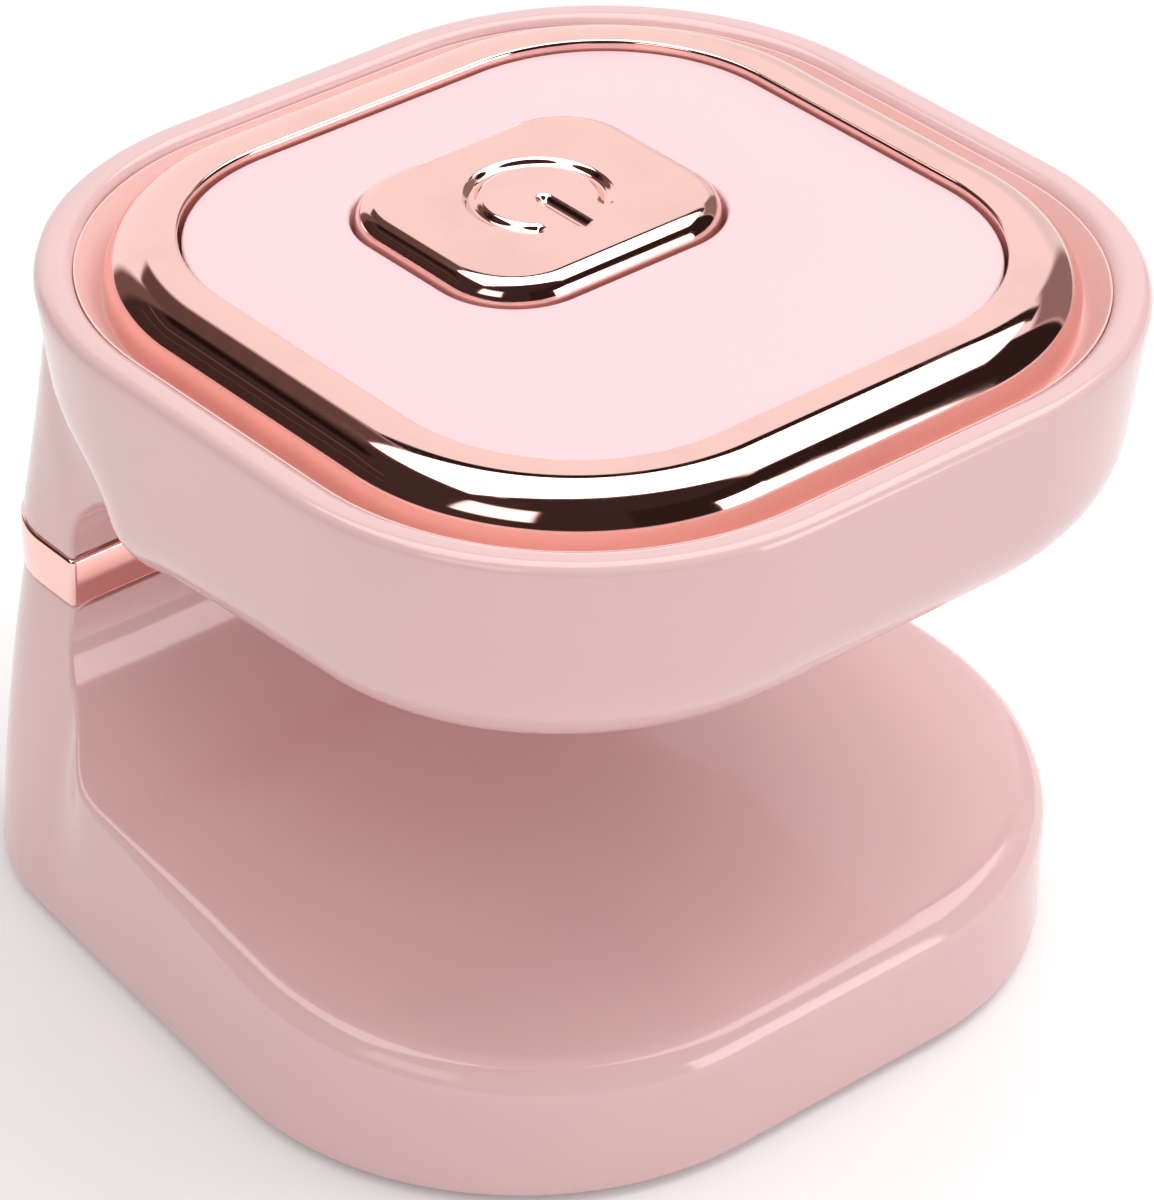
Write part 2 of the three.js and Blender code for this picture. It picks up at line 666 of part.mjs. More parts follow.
  // The bay itself: its flat face, the fillet and the column's inner face
  const bayRows = edges.map((e, i) => {
    if (i === 0) return bayEdge.slice(count - 1, rightStart + 1);
    const row = [bayEdge[count - 1 - i]];
    for (let j = 1; j < FRONT_STEPS; j += 1) {
      const [x, run] = e.bay;
      row.push(place(bayPoint([THREE.MathUtils.lerp(-x, x, j / FRONT_STEPS), run])));
    }
    return [...row, bayEdge[rightStart + i]];
  });
  for (let i = 0; i + 1 < count; i += 1) body.strip(bayRows[i], bayRows[i + 1]);

  // The open end and the column's free end
  const foot = [...frontRows[0], ...backRows[0].slice(1, -1)];
  body.fan(place([0, Y_HUB, openHeight]), foot.reverse());
  const top = backRows[backRows.length - 1];
  const leftRound = rounds.map((row) => row[0]).slice(1);
  const rightRound = rounds.map((row) => row[row.length - 1]).slice(1).reverse();
  const inner = bayRows[count - 1].slice(1, -1);
  body.fan(place([0, Y_COLUMN, neckHeight]), [...top, ...leftRound, ...inner, ...rightRound]);
  return body.geometry(flipped);
}

// The plans of the head, of the base at the table and of the column at the trim band
const HEAD_PLAN = roundedRectangle(HEAD_WIDTH, HEAD_WIDTH, HEAD_CORNER_RADIUS, Y_HEAD);
const BASE_PLAN = plan(
  BASE_FRONT_WIDTH / 2,
  BASE_BACK_WIDTH / 2,
  Y_BASE_FRONT,
  Y_BACK,
  BASE_FRONT_RADIUS,
  BASE_BACK_RADIUS,
);
const COLUMN_PLAN = plan(
  COLUMN_WIDTH / 2 + COLUMN_SIDE_SPREAD,
  COLUMN_WIDTH / 2,
  Y_BASE_FRONT,
  Y_COLUMN_BACK,
  BASE_FRONT_RADIUS,
  COLUMN_RADIUS,
);
const PANEL_PLAN = roundedRectangle(PANEL_WIDTH, PANEL_WIDTH, PANEL_RADIUS, Y_HEAD);

// How far a quarter-round edge has drawn in at a height above its end
function roundInset(height, radius) {
  if (height >= radius) return 0;
  const left = radius - Math.max(height, 0);
  return radius - Math.sqrt(radius ** 2 - left ** 2);
}

// The base and its column, from the table up: behind the bay the wall leans in to the column's plan
function baseForm(wall, overrun) {
  const column = insetPlan(COLUMN_PLAN, wall);
  const planAt = (height) => insetPlan(BASE_PLAN, wall + (wall ? 0 : roundInset(height, BASE_LOWER_ROUND)));
  const bayWall = wall ? BAY_WALL : 0;
  const flatAt = (y) => baseRise(y) - bayWall / Math.cos(Math.atan(BASE_SLOPE_SHARE));
  return moulding({
    reachAt: (height, angle) => {
      const base = reach(planAt(height), Y_HUB, angle);
      const y = Y_HUB + base * Math.sin(angle);
      const behind = THREE.MathUtils.smoothstep(y, Y_INNER_FACE - COLUMN_BLEND_LENGTH, Y_INNER_FACE);
      return THREE.MathUtils.lerp(base, reach(column, Y_HUB, angle), leanShare(height) * behind);
    },
    levelOf: (height) => Z_BASE + height,
    flipped: false,
    openHeight: -overrun,
    openRound: BASE_LOWER_ROUND,
    flatAt,
    slopeShare: BASE_SLOPE_SHARE,
    neckHeight: NECK_HEIGHT + overrun,
    innerFace: Y_INNER_FACE + bayWall,
    fillet: BASE_FILLET + bayWall,
    edge: Math.max(BASE_UPPER_ROUND - wall, COLUMN_EDGE_ROUND),
    fadeLength: BASE_FADE_LENGTH,
    frontPlan: planAt(BASE_HEIGHT),
    roundSteps: wall ? 1 : ROUND_STEPS,
    rowSteps: wall ? INNER_ROW_STEPS : ROW_STEPS,
  });
}

// The head and its stub of column, from the rim down. In front and at the sides the wall draws in a little,
// then behind the bay it narrows to the column. At the back it leans out in one straight line to the column.
function headForm(wall, overrun) {
  const column = insetPlan(COLUMN_PLAN, wall);
  const rimAt = (height) => insetPlan(HEAD_PLAN, wall + (wall ? 0 : roundInset(height, RIM_ROUND)));
  const taperAt = (height) => HEAD_TAPER * THREE.MathUtils.clamp(height / HEAD_HEIGHT, 0, 1);
  const planAt = (height) => insetPlan(rimAt(height), taperAt(height));
  const bayWall = wall ? BAY_WALL : 0;
  const flatAt = (y) => headDrop(y) - bayWall / Math.cos(Math.atan(HEAD_SLOPE_SHARE));
  return moulding({
    reachAt: (height, angle) => {
      const rim = reach(rimAt(height), Y_HUB, angle);
      const side = reach(planAt(height), Y_HUB, angle);
      const goal = reach(column, Y_HUB, angle);
      const y = Y_HUB + side * Math.sin(angle);
      const behind = THREE.MathUtils.smoothstep(y, Y_HUB, Y_INNER_FACE - COLUMN_RADIUS / 2);
      const lower = THREE.MathUtils.smoothstep(height, HEAD_BLEND_START, HEAD_BLEND_END);
      const narrowing = THREE.MathUtils.lerp(side, goal, lower * behind);
      const leaning = THREE.MathUtils.lerp(rim, goal, THREE.MathUtils.clamp(height / HEAD_STACK, 0, 1));
      const back = THREE.MathUtils.smoothstep(goal - rim, -HEAD_BLEND_MARGIN, HEAD_BLEND_MARGIN);
      return THREE.MathUtils.lerp(narrowing, leaning, back * behind);
    },
    levelOf: (height) => Z_RIM - height,
    flipped: true,
    openHeight: -overrun,
    openRound: RIM_ROUND,
    flatAt,
    slopeShare: HEAD_SLOPE_SHARE,
    neckHeight: HEAD_STACK + overrun,
    innerFace: Y_INNER_FACE + bayWall,
    fillet: HEAD_FILLET + bayWall,
    edge: Math.max(HEAD_LOWER_ROUND - wall, COLUMN_EDGE_ROUND),
    fadeLength: HEAD_FADE_LENGTH,
    frontPlan: planAt(HEAD_HEIGHT),
    roundSteps: wall ? 1 : ROUND_STEPS,
    rowSteps: wall ? INNER_ROW_STEPS : ROW_STEPS,
  });
}

// The lamp's pieces
const lamp = new THREE.Group();

function part(name, geometry, material) {
  const mesh = new THREE.Mesh(geometry, material);
  mesh.name = name;
  lamp.add(mesh);
}

const bothSides = (x) => [-x, x];
const pairs = (xHalf, yPlaces) => yPlaces.flatMap((y) => bothSides(xHalf).map((x) => [x, y]));

// Places of the fasteners and feet
const COVER_SCREWS = [
  ...pairs(BASE_FRONT_WIDTH / 2 - COVER_SCREW_FRONT_SIDE, [Y_BASE_FRONT + COVER_SCREW_FRONT_INSET]),
  ...pairs(BASE_BACK_WIDTH / 2 - COVER_SCREW_BACK_SIDE, [Y_BACK - COVER_SCREW_BACK_INSET]),
];
const FEET = [
  ...pairs(BASE_FRONT_WIDTH / 2 - FOOT_FRONT_SIDE, [Y_BASE_FRONT + FOOT_FRONT_INSET]),
  ...pairs(BASE_BACK_WIDTH / 2 - FOOT_BACK_SIDE, [Y_BACK - FOOT_BACK_INSET]),
];
const LONG_SCREWS = bothSides(LONG_SCREW_SPACING / 2).map((x) => [x, Y_COLUMN]);
const RING_CORNER = PANEL_WIDTH / 2 - PANEL_RADIUS + (PANEL_RADIUS + RING_GAP + RING_WIDTH / 2) * Math.SQRT1_2;
const CARRIER_BOSSES = pairs(RING_CORNER, [Y_HEAD - RING_CORNER, Y_HEAD + RING_CORNER]);
const BOARD_POSTS = pairs(
  BOARD_WIDTH / 2 - BOARD_EDGE_INSET,
  [Y_BOARD - BOARD_DEPTH / 2 + BOARD_EDGE_INSET, Y_BOARD + BOARD_DEPTH / 2 - BOARD_EDGE_INSET],
);
const LED_BOARD_WIDTH = WINDOW_WIDTH + 2 * (LENS_FLANGE + LED_BOARD_EAR);
const LED_BOSSES = bothSides(WINDOW_WIDTH / 2 + LENS_FLANGE + LED_BOARD_EAR / 2).map((x) => [x, Y_WINDOW]);

// A pan-head screw that points up, its head's underside at a level, with a plain drive recess
function screw([x, y], seat, length, shaft, head, headHeight, recess, up = 1) {
  const tip = shaft;
  const outline = [
    [0, -headHeight + SCREW_RECESS_DEPTH],
    [recess, -headHeight + SCREW_RECESS_DEPTH],
    [recess, -headHeight],
    [head - SCREW_HEAD_CHAMFER, -headHeight],
    [head, -headHeight + SCREW_HEAD_CHAMFER],
    [head, 0],
    [shaft, 0],
    [shaft, length - tip],
    [0, length],
  ].map(([r, h]) => new THREE.Vector2(r, h));
  const geometry = new THREE.LatheGeometry(outline, SCREW_SIDES);
  geometry.rotateX(up > 0 ? Math.PI / 2 : -Math.PI / 2);
  return geometry.translate(x, y, seat);
}

const smallScrew = (place, seat, up) => screw(
  place,
  seat,
  SMALL_SCREW_LENGTH,
  SMALL_SCREW_SHAFT_RADIUS,
  SMALL_SCREW_HEAD_RADIUS,
  SMALL_SCREW_HEAD_HEIGHT,
  SMALL_SCREW_HEAD_RADIUS / 2,
  up,
);

// Base shell: tray and lower column in one moulding, with bosses for the cover and for the long screws
function baseShell() {
  const bosses = COVER_SCREWS.map(([x, y]) => upright(BOSS_RADIUS, Z_COVER_TOP, Z_BAND, x, y));
  const blocks = LONG_SCREWS.map(([x, y]) =>
    block(x, y, Z_BAND - LONG_SCREW_GRIP, LONG_SCREW_BLOCK_WIDTH, COLUMN_DEPTH, LONG_SCREW_GRIP + OVERRUN * 2));
  const ribHeight = Z_BAND - Z_USB_BOARD_TOP;
  const ribs = bothSides(USB_BOARD_WIDTH / 2 - USB_RIB_WIDTH / 2).map((x) =>
    block(x, Y_INNER_FACE + USB_RIB_LENGTH / 2, Z_USB_BOARD_TOP, USB_RIB_WIDTH, USB_RIB_LENGTH, ribHeight));
  const cavity = cut(solid(baseForm(BASE_WALL, OVERRUN)), [...bosses, ...blocks, ...ribs]);
  const pilots = COVER_SCREWS.map(([x, y]) =>
    upright(SCREW_SHAFT_RADIUS + SCREW_GAP, Z_BASE, Z_COVER + SCREW_HEAD_HEIGHT + SCREW_LENGTH + FIT_GAP, x, y));
  const passages = LONG_SCREWS.map(([x, y]) =>
    upright(LONG_SCREW_SHAFT_RADIUS + SCREW_GAP, Z_BAND - LONG_SCREW_GRIP - OVERRUN, Z_BAND + OVERRUN, x, y));
  const mouth = socketPrism(SOCKET_WIDTH / 2 + FIT_GAP, SOCKET_HEIGHT / 2 + FIT_GAP, Y_SOCKET_START, Y_BACK);
  return geometryOf(cut(solid(baseForm(0, 0)).subtract(cavity), [...pilots, ...passages, mouth]));
}

// Head shell: tray, floor with the lamp window and the stub of column
function headShell() {
  const low = Z_BAND_TOP;
  const window = roundedRectangle(WINDOW_WIDTH, WINDOW_DEPTH, WINDOW_RADIUS, Y_WINDOW);
  const bosses = [
    prism(insetPlan(window, -LENS_FLANGE), low, Z_FLOOR),
    ...CARRIER_BOSSES.map(([x, y]) => upright(BOSS_RADIUS, low, Z_CARRIER, x, y)),
    ...BOARD_POSTS.map(([x, y]) => upright(POST_RADIUS, low, Z_BOARD, x, y)),
    ...LED_BOSSES.map(([x, y]) => upright(LED_BOSS_RADIUS, low, Z_LED_SEAT, x, y)),
    ...LONG_SCREWS.map(([x, y]) => block(
      x,
      y,
      Z_BAND_TOP - OVERRUN * 2,
      LONG_SCREW_BLOCK_WIDTH,
      COLUMN_DEPTH,
      LONG_SCREW_BITE + OVERRUN * 3,
    )),
  ];
  const cavity = cut(solid(headForm(HEAD_WALL, OVERRUN)), bosses);
  const hole = SMALL_SCREW_SHAFT_RADIUS + SCREW_GAP;
  const pilot = ([x, y], top) => upright(hole, top - SMALL_SCREW_LENGTH - FIT_GAP, top + OVERRUN, x, y);
  const holes = [
    prism(window, low, Z_FLOOR + OVERRUN),
    ...CARRIER_BOSSES.map((place) => pilot(place, Z_CARRIER)),
    ...BOARD_POSTS.map((place) => pilot(place, Z_BOARD)),
    ...LED_BOSSES.map((place) => pilot(place, Z_LED_SEAT)),
    ...LONG_SCREWS.map(([x, y]) => upright(
      LONG_SCREW_SHAFT_RADIUS + SCREW_GAP,
      Z_BAND_TOP - OVERRUN,
      Z_BAND_TOP + LONG_SCREW_BITE - OVERRUN,
      x,
      y,
    )),
  ];
  return geometryOf(cut(solid(headForm(0, 0)).subtract(cavity), holes));
}

// Trim band: a thin collar held between the two mouldings
function waistBand() {
  const { normal } = corners(COLUMN_PLAN);
  const sideAt = (y) => COLUMN_PLAN.frontHalf + ((Y_BASE_FRONT - y) * normal.y) / normal.x;
  const collar = plan(
    sideAt(Y_INNER_FACE),
    COLUMN_PLAN.backHalf,
    Y_INNER_FACE,
    Y_COLUMN_BACK,
    COLUMN_EDGE_ROUND,
    COLUMN_RADIUS,
  );
  const section = [
    [-BAND_WALL, Z_BAND],
    [BAND_PROUD / 2, Z_BAND],
    [BAND_PROUD, Z_BAND + BAND_PROUD],
    [BAND_PROUD, Z_BAND_TOP - BAND_PROUD],
    [BAND_PROUD / 2, Z_BAND_TOP],
    [-BAND_WALL, Z_BAND_TOP],
  ];
  return planRing(collar, section);
}

// Bezel ring: a rolled section round the panel, from a low inner lip over a crest to an upright outer wall
function bezelRing() {
  const inner = insetPlan(PANEL_PLAN, -RING_GAP);
  const crest = Z_PANEL + RING_CREST;
  const section = [[0, Z_CARRIER_TOP], [RING_WIDTH, Z_CARRIER_TOP]];
  const rollWidth = RING_WIDTH - RING_LIP_WIDTH;
  for (let i = 0; i <= RING_STEPS; i += 1) {
    const turn = ((Math.PI / 2) * i) / RING_STEPS;
    section.push([
      RING_LIP_WIDTH + rollWidth * Math.cos(turn),
      crest - RING_ROLL_HEIGHT + RING_ROLL_HEIGHT * Math.sin(turn),
    ]);
  }
  section.push([RING_LIP_ROUND, crest], [0, crest - RING_LIP_ROUND]);
  return planRing(inner, section);
}

const BUTTON_HOLE = roundedRectangle(BUTTON_HOLE_WIDTH, BUTTON_HOLE_DEPTH, BUTTON_HOLE_RADIUS, Y_BUTTON);

function topPanel() {
  const levels = [
    [Z_PANEL_SEAT, 0],
    [Z_PANEL - PANEL_EDGE_ROUND, 0],
    [Z_PANEL, PANEL_EDGE_ROUND],
  ];
  const plate = loft(levels.map(([z, inset]) => ({ outline: outlineOf(insetPlan(PANEL_PLAN, inset)), z })));
  const hole = prism(BUTTON_HOLE, Z_PANEL_SEAT - OVERRUN, Z_PANEL + OVERRUN, BUTTON_STEPS);
  return geometryOf(cut(solid(plate), [hole]));
}

// Panel carrier: a plate on the head's bosses with a raised, hollow middle that the ring fits round
function panelCarrier() {
  const top = Z_CARRIER_TOP;
  const taper = (HEAD_TAPER * (Z_RIM - Z_CARRIER)) / HEAD_HEIGHT;
  const plate = prism(insetPlan(HEAD_PLAN, HEAD_WALL + taper + FIT_GAP), Z_CARRIER, top);
  const plateau = prism(PANEL_PLAN, Z_CARRIER, Z_PANEL_SEAT);
  const pocket = prism(insetPlan(PANEL_PLAN, CARRIER_POCKET_MARGIN), Z_CARRIER - OVERRUN, Z_POCKET);
  const hole = prism(BUTTON_HOLE, Z_CARRIER, Z_PANEL_SEAT + OVERRUN, BUTTON_STEPS);
  const screws = CARRIER_BOSSES.flatMap(([x, y]) => [
    upright(SMALL_SCREW_SHAFT_RADIUS + SCREW_GAP, Z_CARRIER - OVERRUN, top + OVERRUN, x, y),
    upright(SMALL_SCREW_HEAD_RADIUS + FIT_GAP, top - CARRIER_SCREW_SINK, Z_PANEL_SEAT + OVERRUN, x, y),
  ]);
  return geometryOf(cut(join(solid(plate), [plateau]), [pocket, hole, ...screws]));
}

// The power symbol: an open ring and a bar, both as cutters for the button's face
function symbolCutters() {
  const half = SYMBOL_STROKE / 2;
  const gap = THREE.MathUtils.degToRad(SYMBOL_GAP_DEG);
  const from = -Math.PI / 2 + gap;
  const to = -Math.PI / 2 - gap + 2 * Math.PI;
  const arc = new THREE.Shape();
  arc.absarc(0, 0, SYMBOL_RADIUS + half, from, to, false);
  arc.absarc(0, 0, SYMBOL_RADIUS - half, to, from, true);
  const bar = new THREE.Shape();
  bar.absarc(0, -half, half, 0, Math.PI, false);
  bar.absarc(0, half - SYMBOL_BAR, half, Math.PI, 2 * Math.PI, false);
  const options = { depth: SYMBOL_DEPTH + OVERRUN, bevelEnabled: false, curveSegments: SYMBOL_STEPS };
  return [arc, bar].map((shape) =>
    new THREE.ExtrudeGeometry(shape, options).translate(0, Y_BUTTON, Z_BUTTON_TOP - SYMBOL_DEPTH));
}

// Button cap: a hollow cap with a rolled edge, a flange that keeps it in and a stem down to the switch
function buttonCap() {
  const outer = insetPlan(BUTTON_HOLE, BUTTON_GAP);
  const flangeTop = Z_POCKET - FIT_GAP;
  const levels = [{ outline: outlineOf(outer, BUTTON_STEPS), z: flangeTop - BUTTON_FLANGE_THICKNESS }];
  for (let i = 0; i <= BEVEL_STEPS; i += 1) {
    const turn = ((Math.PI / 2) * i) / BEVEL_STEPS;
    const inset = BUTTON_ROUND * (1 - Math.cos(turn));
    const z = Z_BUTTON_TOP - BUTTON_ROUND * (1 - Math.sin(turn));
    levels.push({ outline: outlineOf(insetPlan(outer, inset), BUTTON_STEPS), z });
  }
  const flangeLow = flangeTop - BUTTON_FLANGE_THICKNESS;
  const flange = prism(insetPlan(outer, -BUTTON_FLANGE), flangeLow, flangeTop, BUTTON_STEPS);
  const ceiling = Z_BUTTON_TOP - BUTTON_WALL;
  const hollow = prism(insetPlan(outer, BUTTON_WALL), flangeLow - OVERRUN, ceiling, BUTTON_STEPS);
  const stem = upright(BUTTON_STEM_RADIUS, Z_PLUNGER_TOP + PLUNGER_GAP, ceiling + BUTTON_WALL / 2, 0, Y_BUTTON);
  const cap = join(cut(join(solid(loft(levels)), [flange]), [hollow]), [stem]);
  return geometryOf(cut(cap, symbolCutters()));
}

// Lamp window: a clear plate in the floor's opening, with a flange that rests on the floor
function lensWindow() {
  const opening = roundedRectangle(WINDOW_WIDTH, WINDOW_DEPTH, WINDOW_RADIUS, Y_WINDOW);
  const plate = prism(insetPlan(opening, FIT_GAP), Z_LENS, Z_FLOOR + LENS_FLANGE_THICKNESS);
  const flange = prism(insetPlan(opening, -LENS_FLANGE), Z_FLOOR, Z_FLOOR + LENS_FLANGE_THICKNESS);
  return geometryOf(join(solid(plate), [flange]));
}

const ledPlaces = [];
for (let row = 0; row < LED_ROWS; row += 1) {
  for (let column = 0; column < LED_COLUMNS; column += 1) {
    const x = (column - (LED_COLUMNS - 1) / 2) * LED_PITCH_X;
    const y = Y_WINDOW + (row - (LED_ROWS - 1) / 2) * LED_PITCH_Y;
    ledPlaces.push([x, y]);
  }
}

// Reflector: a plate over the lens with a flared well for each diode
function reflector() {
  const opening = roundedRectangle(WINDOW_WIDTH, WINDOW_DEPTH, WINDOW_RADIUS, Y_WINDOW);
  const low = Z_LED_SEAT - REFLECTOR_HEIGHT;
  const plate = prism(insetPlan(opening, -LENS_FLANGE), low, Z_LED_SEAT);
  const wells = ledPlaces.map(([x, y]) => {
    const slope = (REFLECTOR_MOUTH_RADIUS - REFLECTOR_HOLE_RADIUS) / REFLECTOR_HEIGHT;
    const well = new THREE.CylinderGeometry(
      REFLECTOR_HOLE_RADIUS - slope * OVERRUN,
      REFLECTOR_MOUTH_RADIUS + slope * OVERRUN,
      REFLECTOR_HEIGHT + 2 * OVERRUN,
      SCREW_SIDES,
    );
    return well.rotateX(Math.PI / 2).translate(x, y, low + REFLECTOR_HEIGHT / 2);
  });
  return geometryOf(cut(solid(plate), wells));
}

function ledBoard() {
  const depth = WINDOW_DEPTH + 2 * LENS_FLANGE;
  const plate = prism(
    roundedRectangle(LED_BOARD_WIDTH, depth, WINDOW_RADIUS, Y_WINDOW),
    Z_LED_SEAT,
    Z_LED_SEAT + LED_BOARD_THICKNESS,
  );
  const holes = LED_BOSSES.map(([x, y]) =>
    upright(SMALL_SCREW_SHAFT_RADIUS + SCREW_GAP, Z_LED_SEAT - OVERRUN, Z_BOARD, x, y));
  return geometryOf(cut(solid(plate), holes));
}

// One diode: a square package under the board with a low round dome that points down
function diode([x, y]) {
  const low = Z_LED_SEAT - LED_HEIGHT;
  const dome = new THREE.LatheGeometry([
    [0, -LED_DOME_HEIGHT],
    [LED_DOME_RADIUS * LED_DOME_SHOULDER_SHARE, -LED_DOME_HEIGHT * LED_DOME_SHOULDER_SHARE],
    [LED_DOME_RADIUS, 0],
    [0, LED_HEIGHT / 2],
  ].map(([r, h]) => new THREE.Vector2(r, h)), SCREW_SIDES);
  dome.rotateX(Math.PI / 2).translate(x, y, low);
  return geometryOf(join(solid(block(x, y, low, LED_SIZE, LED_SIZE, LED_HEIGHT)), [dome]));
}

function controlBoard() {
  const outline = roundedRectangle(BOARD_WIDTH, BOARD_DEPTH, BOARD_CORNER, Y_BOARD);
  const plate = prism(outline, Z_BOARD, Z_BOARD_TOP, BOARD_CORNER_STEPS);
  const holes = BOARD_POSTS.map(([x, y]) =>
    upright(SMALL_SCREW_SHAFT_RADIUS + SCREW_GAP, Z_BOARD - OVERRUN, Z_BOARD_TOP + OVERRUN, x, y));
  return geometryOf(cut(solid(plate), holes));
}

function switchBody() {
  const bore = upright(PLUNGER_RADIUS + SCREW_GAP, Z_SWITCH_TOP - PLUNGER_DEPTH - BUTTON_TRAVEL - FIT_GAP,
    Z_SWITCH_TOP + OVERRUN, 0, Y_BUTTON);
  const body = block(0, Y_BUTTON, Z_BOARD_TOP, SWITCH_WIDTH, SWITCH_WIDTH, SWITCH_BODY_HEIGHT);
  return geometryOf(cut(solid(body), [bore]));
}

function inductor() {
  const [x, y] = [COIL_REACH, Y_BOARD + COIL_SHIFT];
  const core = upright(INDUCTOR_CORE_RADIUS, Z_BOARD_TOP, Z_BOARD_TOP + INDUCTOR_HEIGHT, x, y, FINE_SIDES);
  const height = INDUCTOR_HEIGHT * INDUCTOR_BASE_SHARE;
  return geometryOf(join(solid(core), [block(x, y, Z_BOARD_TOP, INDUCTOR_WIDTH, INDUCTOR_WIDTH, height)]));
}

// Base cover: the bottom plate, with seats for the feet, sunk screw holes and two posts for the power board
function baseCover() {
  const lean = leanShare(Z_COVER_TOP - Z_BASE);
  const behind = { ...COLUMN_PLAN, frontHalf: BASE_PLAN.frontHalf };
  const outline = insetPlan(mixPlans(BASE_PLAN, behind, lean), BASE_WALL + FIT_GAP);
  const posts = bothSides(USB_BOARD_WIDTH / 2 - USB_RIB_WIDTH / 2).map((x) =>
    block(x, Y_USB_BOARD, Z_COVER, USB_RIB_WIDTH, USB_BOARD_LENGTH - 2 * USB_RIB_WIDTH, Z_USB_BOARD - Z_COVER));
  const seats = FEET.map(([x, y]) =>
    upright(FOOT_RADIUS + FIT_GAP, Z_BASE, Z_COVER + FOOT_SEAT, x, y, FINE_SIDES));
  const holes = COVER_SCREWS.flatMap(([x, y]) => [
    upright(SCREW_SHAFT_RADIUS + SCREW_GAP, Z_COVER - OVERRUN, Z_COVER_TOP + OVERRUN, x, y),
    upright(SCREW_HEAD_RADIUS + FIT_GAP, Z_COVER - OVERRUN, Z_COVER + SCREW_HEAD_HEIGHT, x, y),
  ]);
  return geometryOf(cut(join(solid(prism(outline, Z_COVER, Z_COVER_TOP)), posts), [...seats, ...holes]));
}

function foot([x, y]) {
  const height = Z_COVER + FOOT_SEAT;
  const outline = [
    [0, 0],
    [FOOT_RADIUS - FOOT_CHAMFER, 0],
    [FOOT_RADIUS, FOOT_CHAMFER],
    [FOOT_RADIUS, height],
    [0, height],
  ].map(([r, h]) => new THREE.Vector2(r, h));
  return new THREE.LatheGeometry(outline, FINE_SIDES).rotateX(Math.PI / 2).translate(x, y, 0);
}

// The inlet: a flat-oval prism along Y
function socketPrism(halfWidth, halfHeight, low, high) {
  const shape = new THREE.Shape();
  const reachX = halfWidth - halfHeight;
  shape.absarc(reachX, 0, halfHeight, -Math.PI / 2, Math.PI / 2, false);
  shape.absarc(-reachX, 0, halfHeight, Math.PI / 2, (3 * Math.PI) / 2, false);
  const options = { depth: high - low, bevelEnabled: false, curveSegments: SOCKET_STEPS };
  return new THREE.ExtrudeGeometry(shape, options).rotateX(Math.PI / 2).translate(0, high, Z_SOCKET);
}

function usbShell() {
  const body = socketPrism(SOCKET_WIDTH / 2, SOCKET_HEIGHT / 2, Y_SOCKET_START, Y_SOCKET_END);
  const bore = socketPrism(
    SOCKET_WIDTH / 2 - SOCKET_WALL,
    SOCKET_HEIGHT / 2 - SOCKET_WALL,
    Y_SOCKET_START + SOCKET_BACK_THICKNESS,
    Y_SOCKET_END + OVERRUN,
  );
  return geometryOf(cut(solid(body), [bore]));
}

function usbTongue() {
  const length = SOCKET_LENGTH - SOCKET_BACK_THICKNESS - TONGUE_SETBACK;
  const middle = Y_SOCKET_START + SOCKET_BACK_THICKNESS + length / 2;
  return block(0, middle, Z_SOCKET - TONGUE_THICKNESS / 2, TONGUE_WIDTH, length, TONGUE_THICKNESS);
}

function wire(x) {
  const points = [
    [Y_BOARD + BOARD_DEPTH / 2 - BOARD_EDGE_INSET, Z_WIRE],
    [Y_BOARD + BOARD_DEPTH / 2 + BOARD_EDGE_INSET, Z_WIRE],
    [Y_INNER_FACE - WIRE_BEND, Z_WIRE - WIRE_BEND * WIRE_DROP_SHARE],
    [Y_INNER_FACE + WIRE_BEND * WIRE_REACH_SHARE, Z_BAY_CORNER + WIRE_BEND * WIRE_REACH_SHARE],
    [Y_COLUMN, Z_BAY_CORNER - WIRE_BEND],
    [Y_COLUMN, Z_BAND],
    [Y_COLUMN, Z_BASE_TOP],
    [Y_COLUMN, Z_USB_BOARD_TOP + FIT_GAP],
  ].map(([y, z]) => new THREE.Vector3(x, y, z));
  const path = new THREE.CatmullRomCurve3(points, false, 'centripetal');
  const round = new THREE.Shape();
  round.absarc(0, 0, WIRE_RADIUS, 0, 2 * Math.PI, false);
  const options = { extrudePath: path, steps: WIRE_STEPS, bevelEnabled: false, curveSegments: WIRE_SIDES / 2 };
  return new THREE.ExtrudeGeometry(round, options);
}

// Base
part('base_shell', baseShell(), PINK_GLOSS);
part('base_cover', baseCover(), PINK_MATTE);
FEET.forEach((place, i) => part(`rubber_foot_${i + 1}`, foot(place), RUBBER));
COVER_SCREWS.forEach((place, i) => {
  const shape = screw(
    place,
    Z_COVER + SCREW_HEAD_HEIGHT,
    SCREW_LENGTH,
    SCREW_SHAFT_RADIUS,
    SCREW_HEAD_RADIUS,
    SCREW_HEAD_HEIGHT,
    SCREW_RECESS_RADIUS,
  );
  part(`base_screw_${i + 1}`, shape, STEEL);
});
const usbBoard = block(0, Y_USB_BOARD, Z_USB_BOARD, USB_BOARD_WIDTH, USB_BOARD_LENGTH, USB_BOARD_THICKNESS);
part('usb_board', usbBoard, GREEN_BOARD);
part('usb_socket', usbShell(), STEEL);
part('usb_tongue', usbTongue(), BLACK_PLASTIC);
part('wire_red', wire(WIRE_SPACING / 2), RED_PVC);
part('wire_black', wire(-WIRE_SPACING / 2), BLACK_PLASTIC);

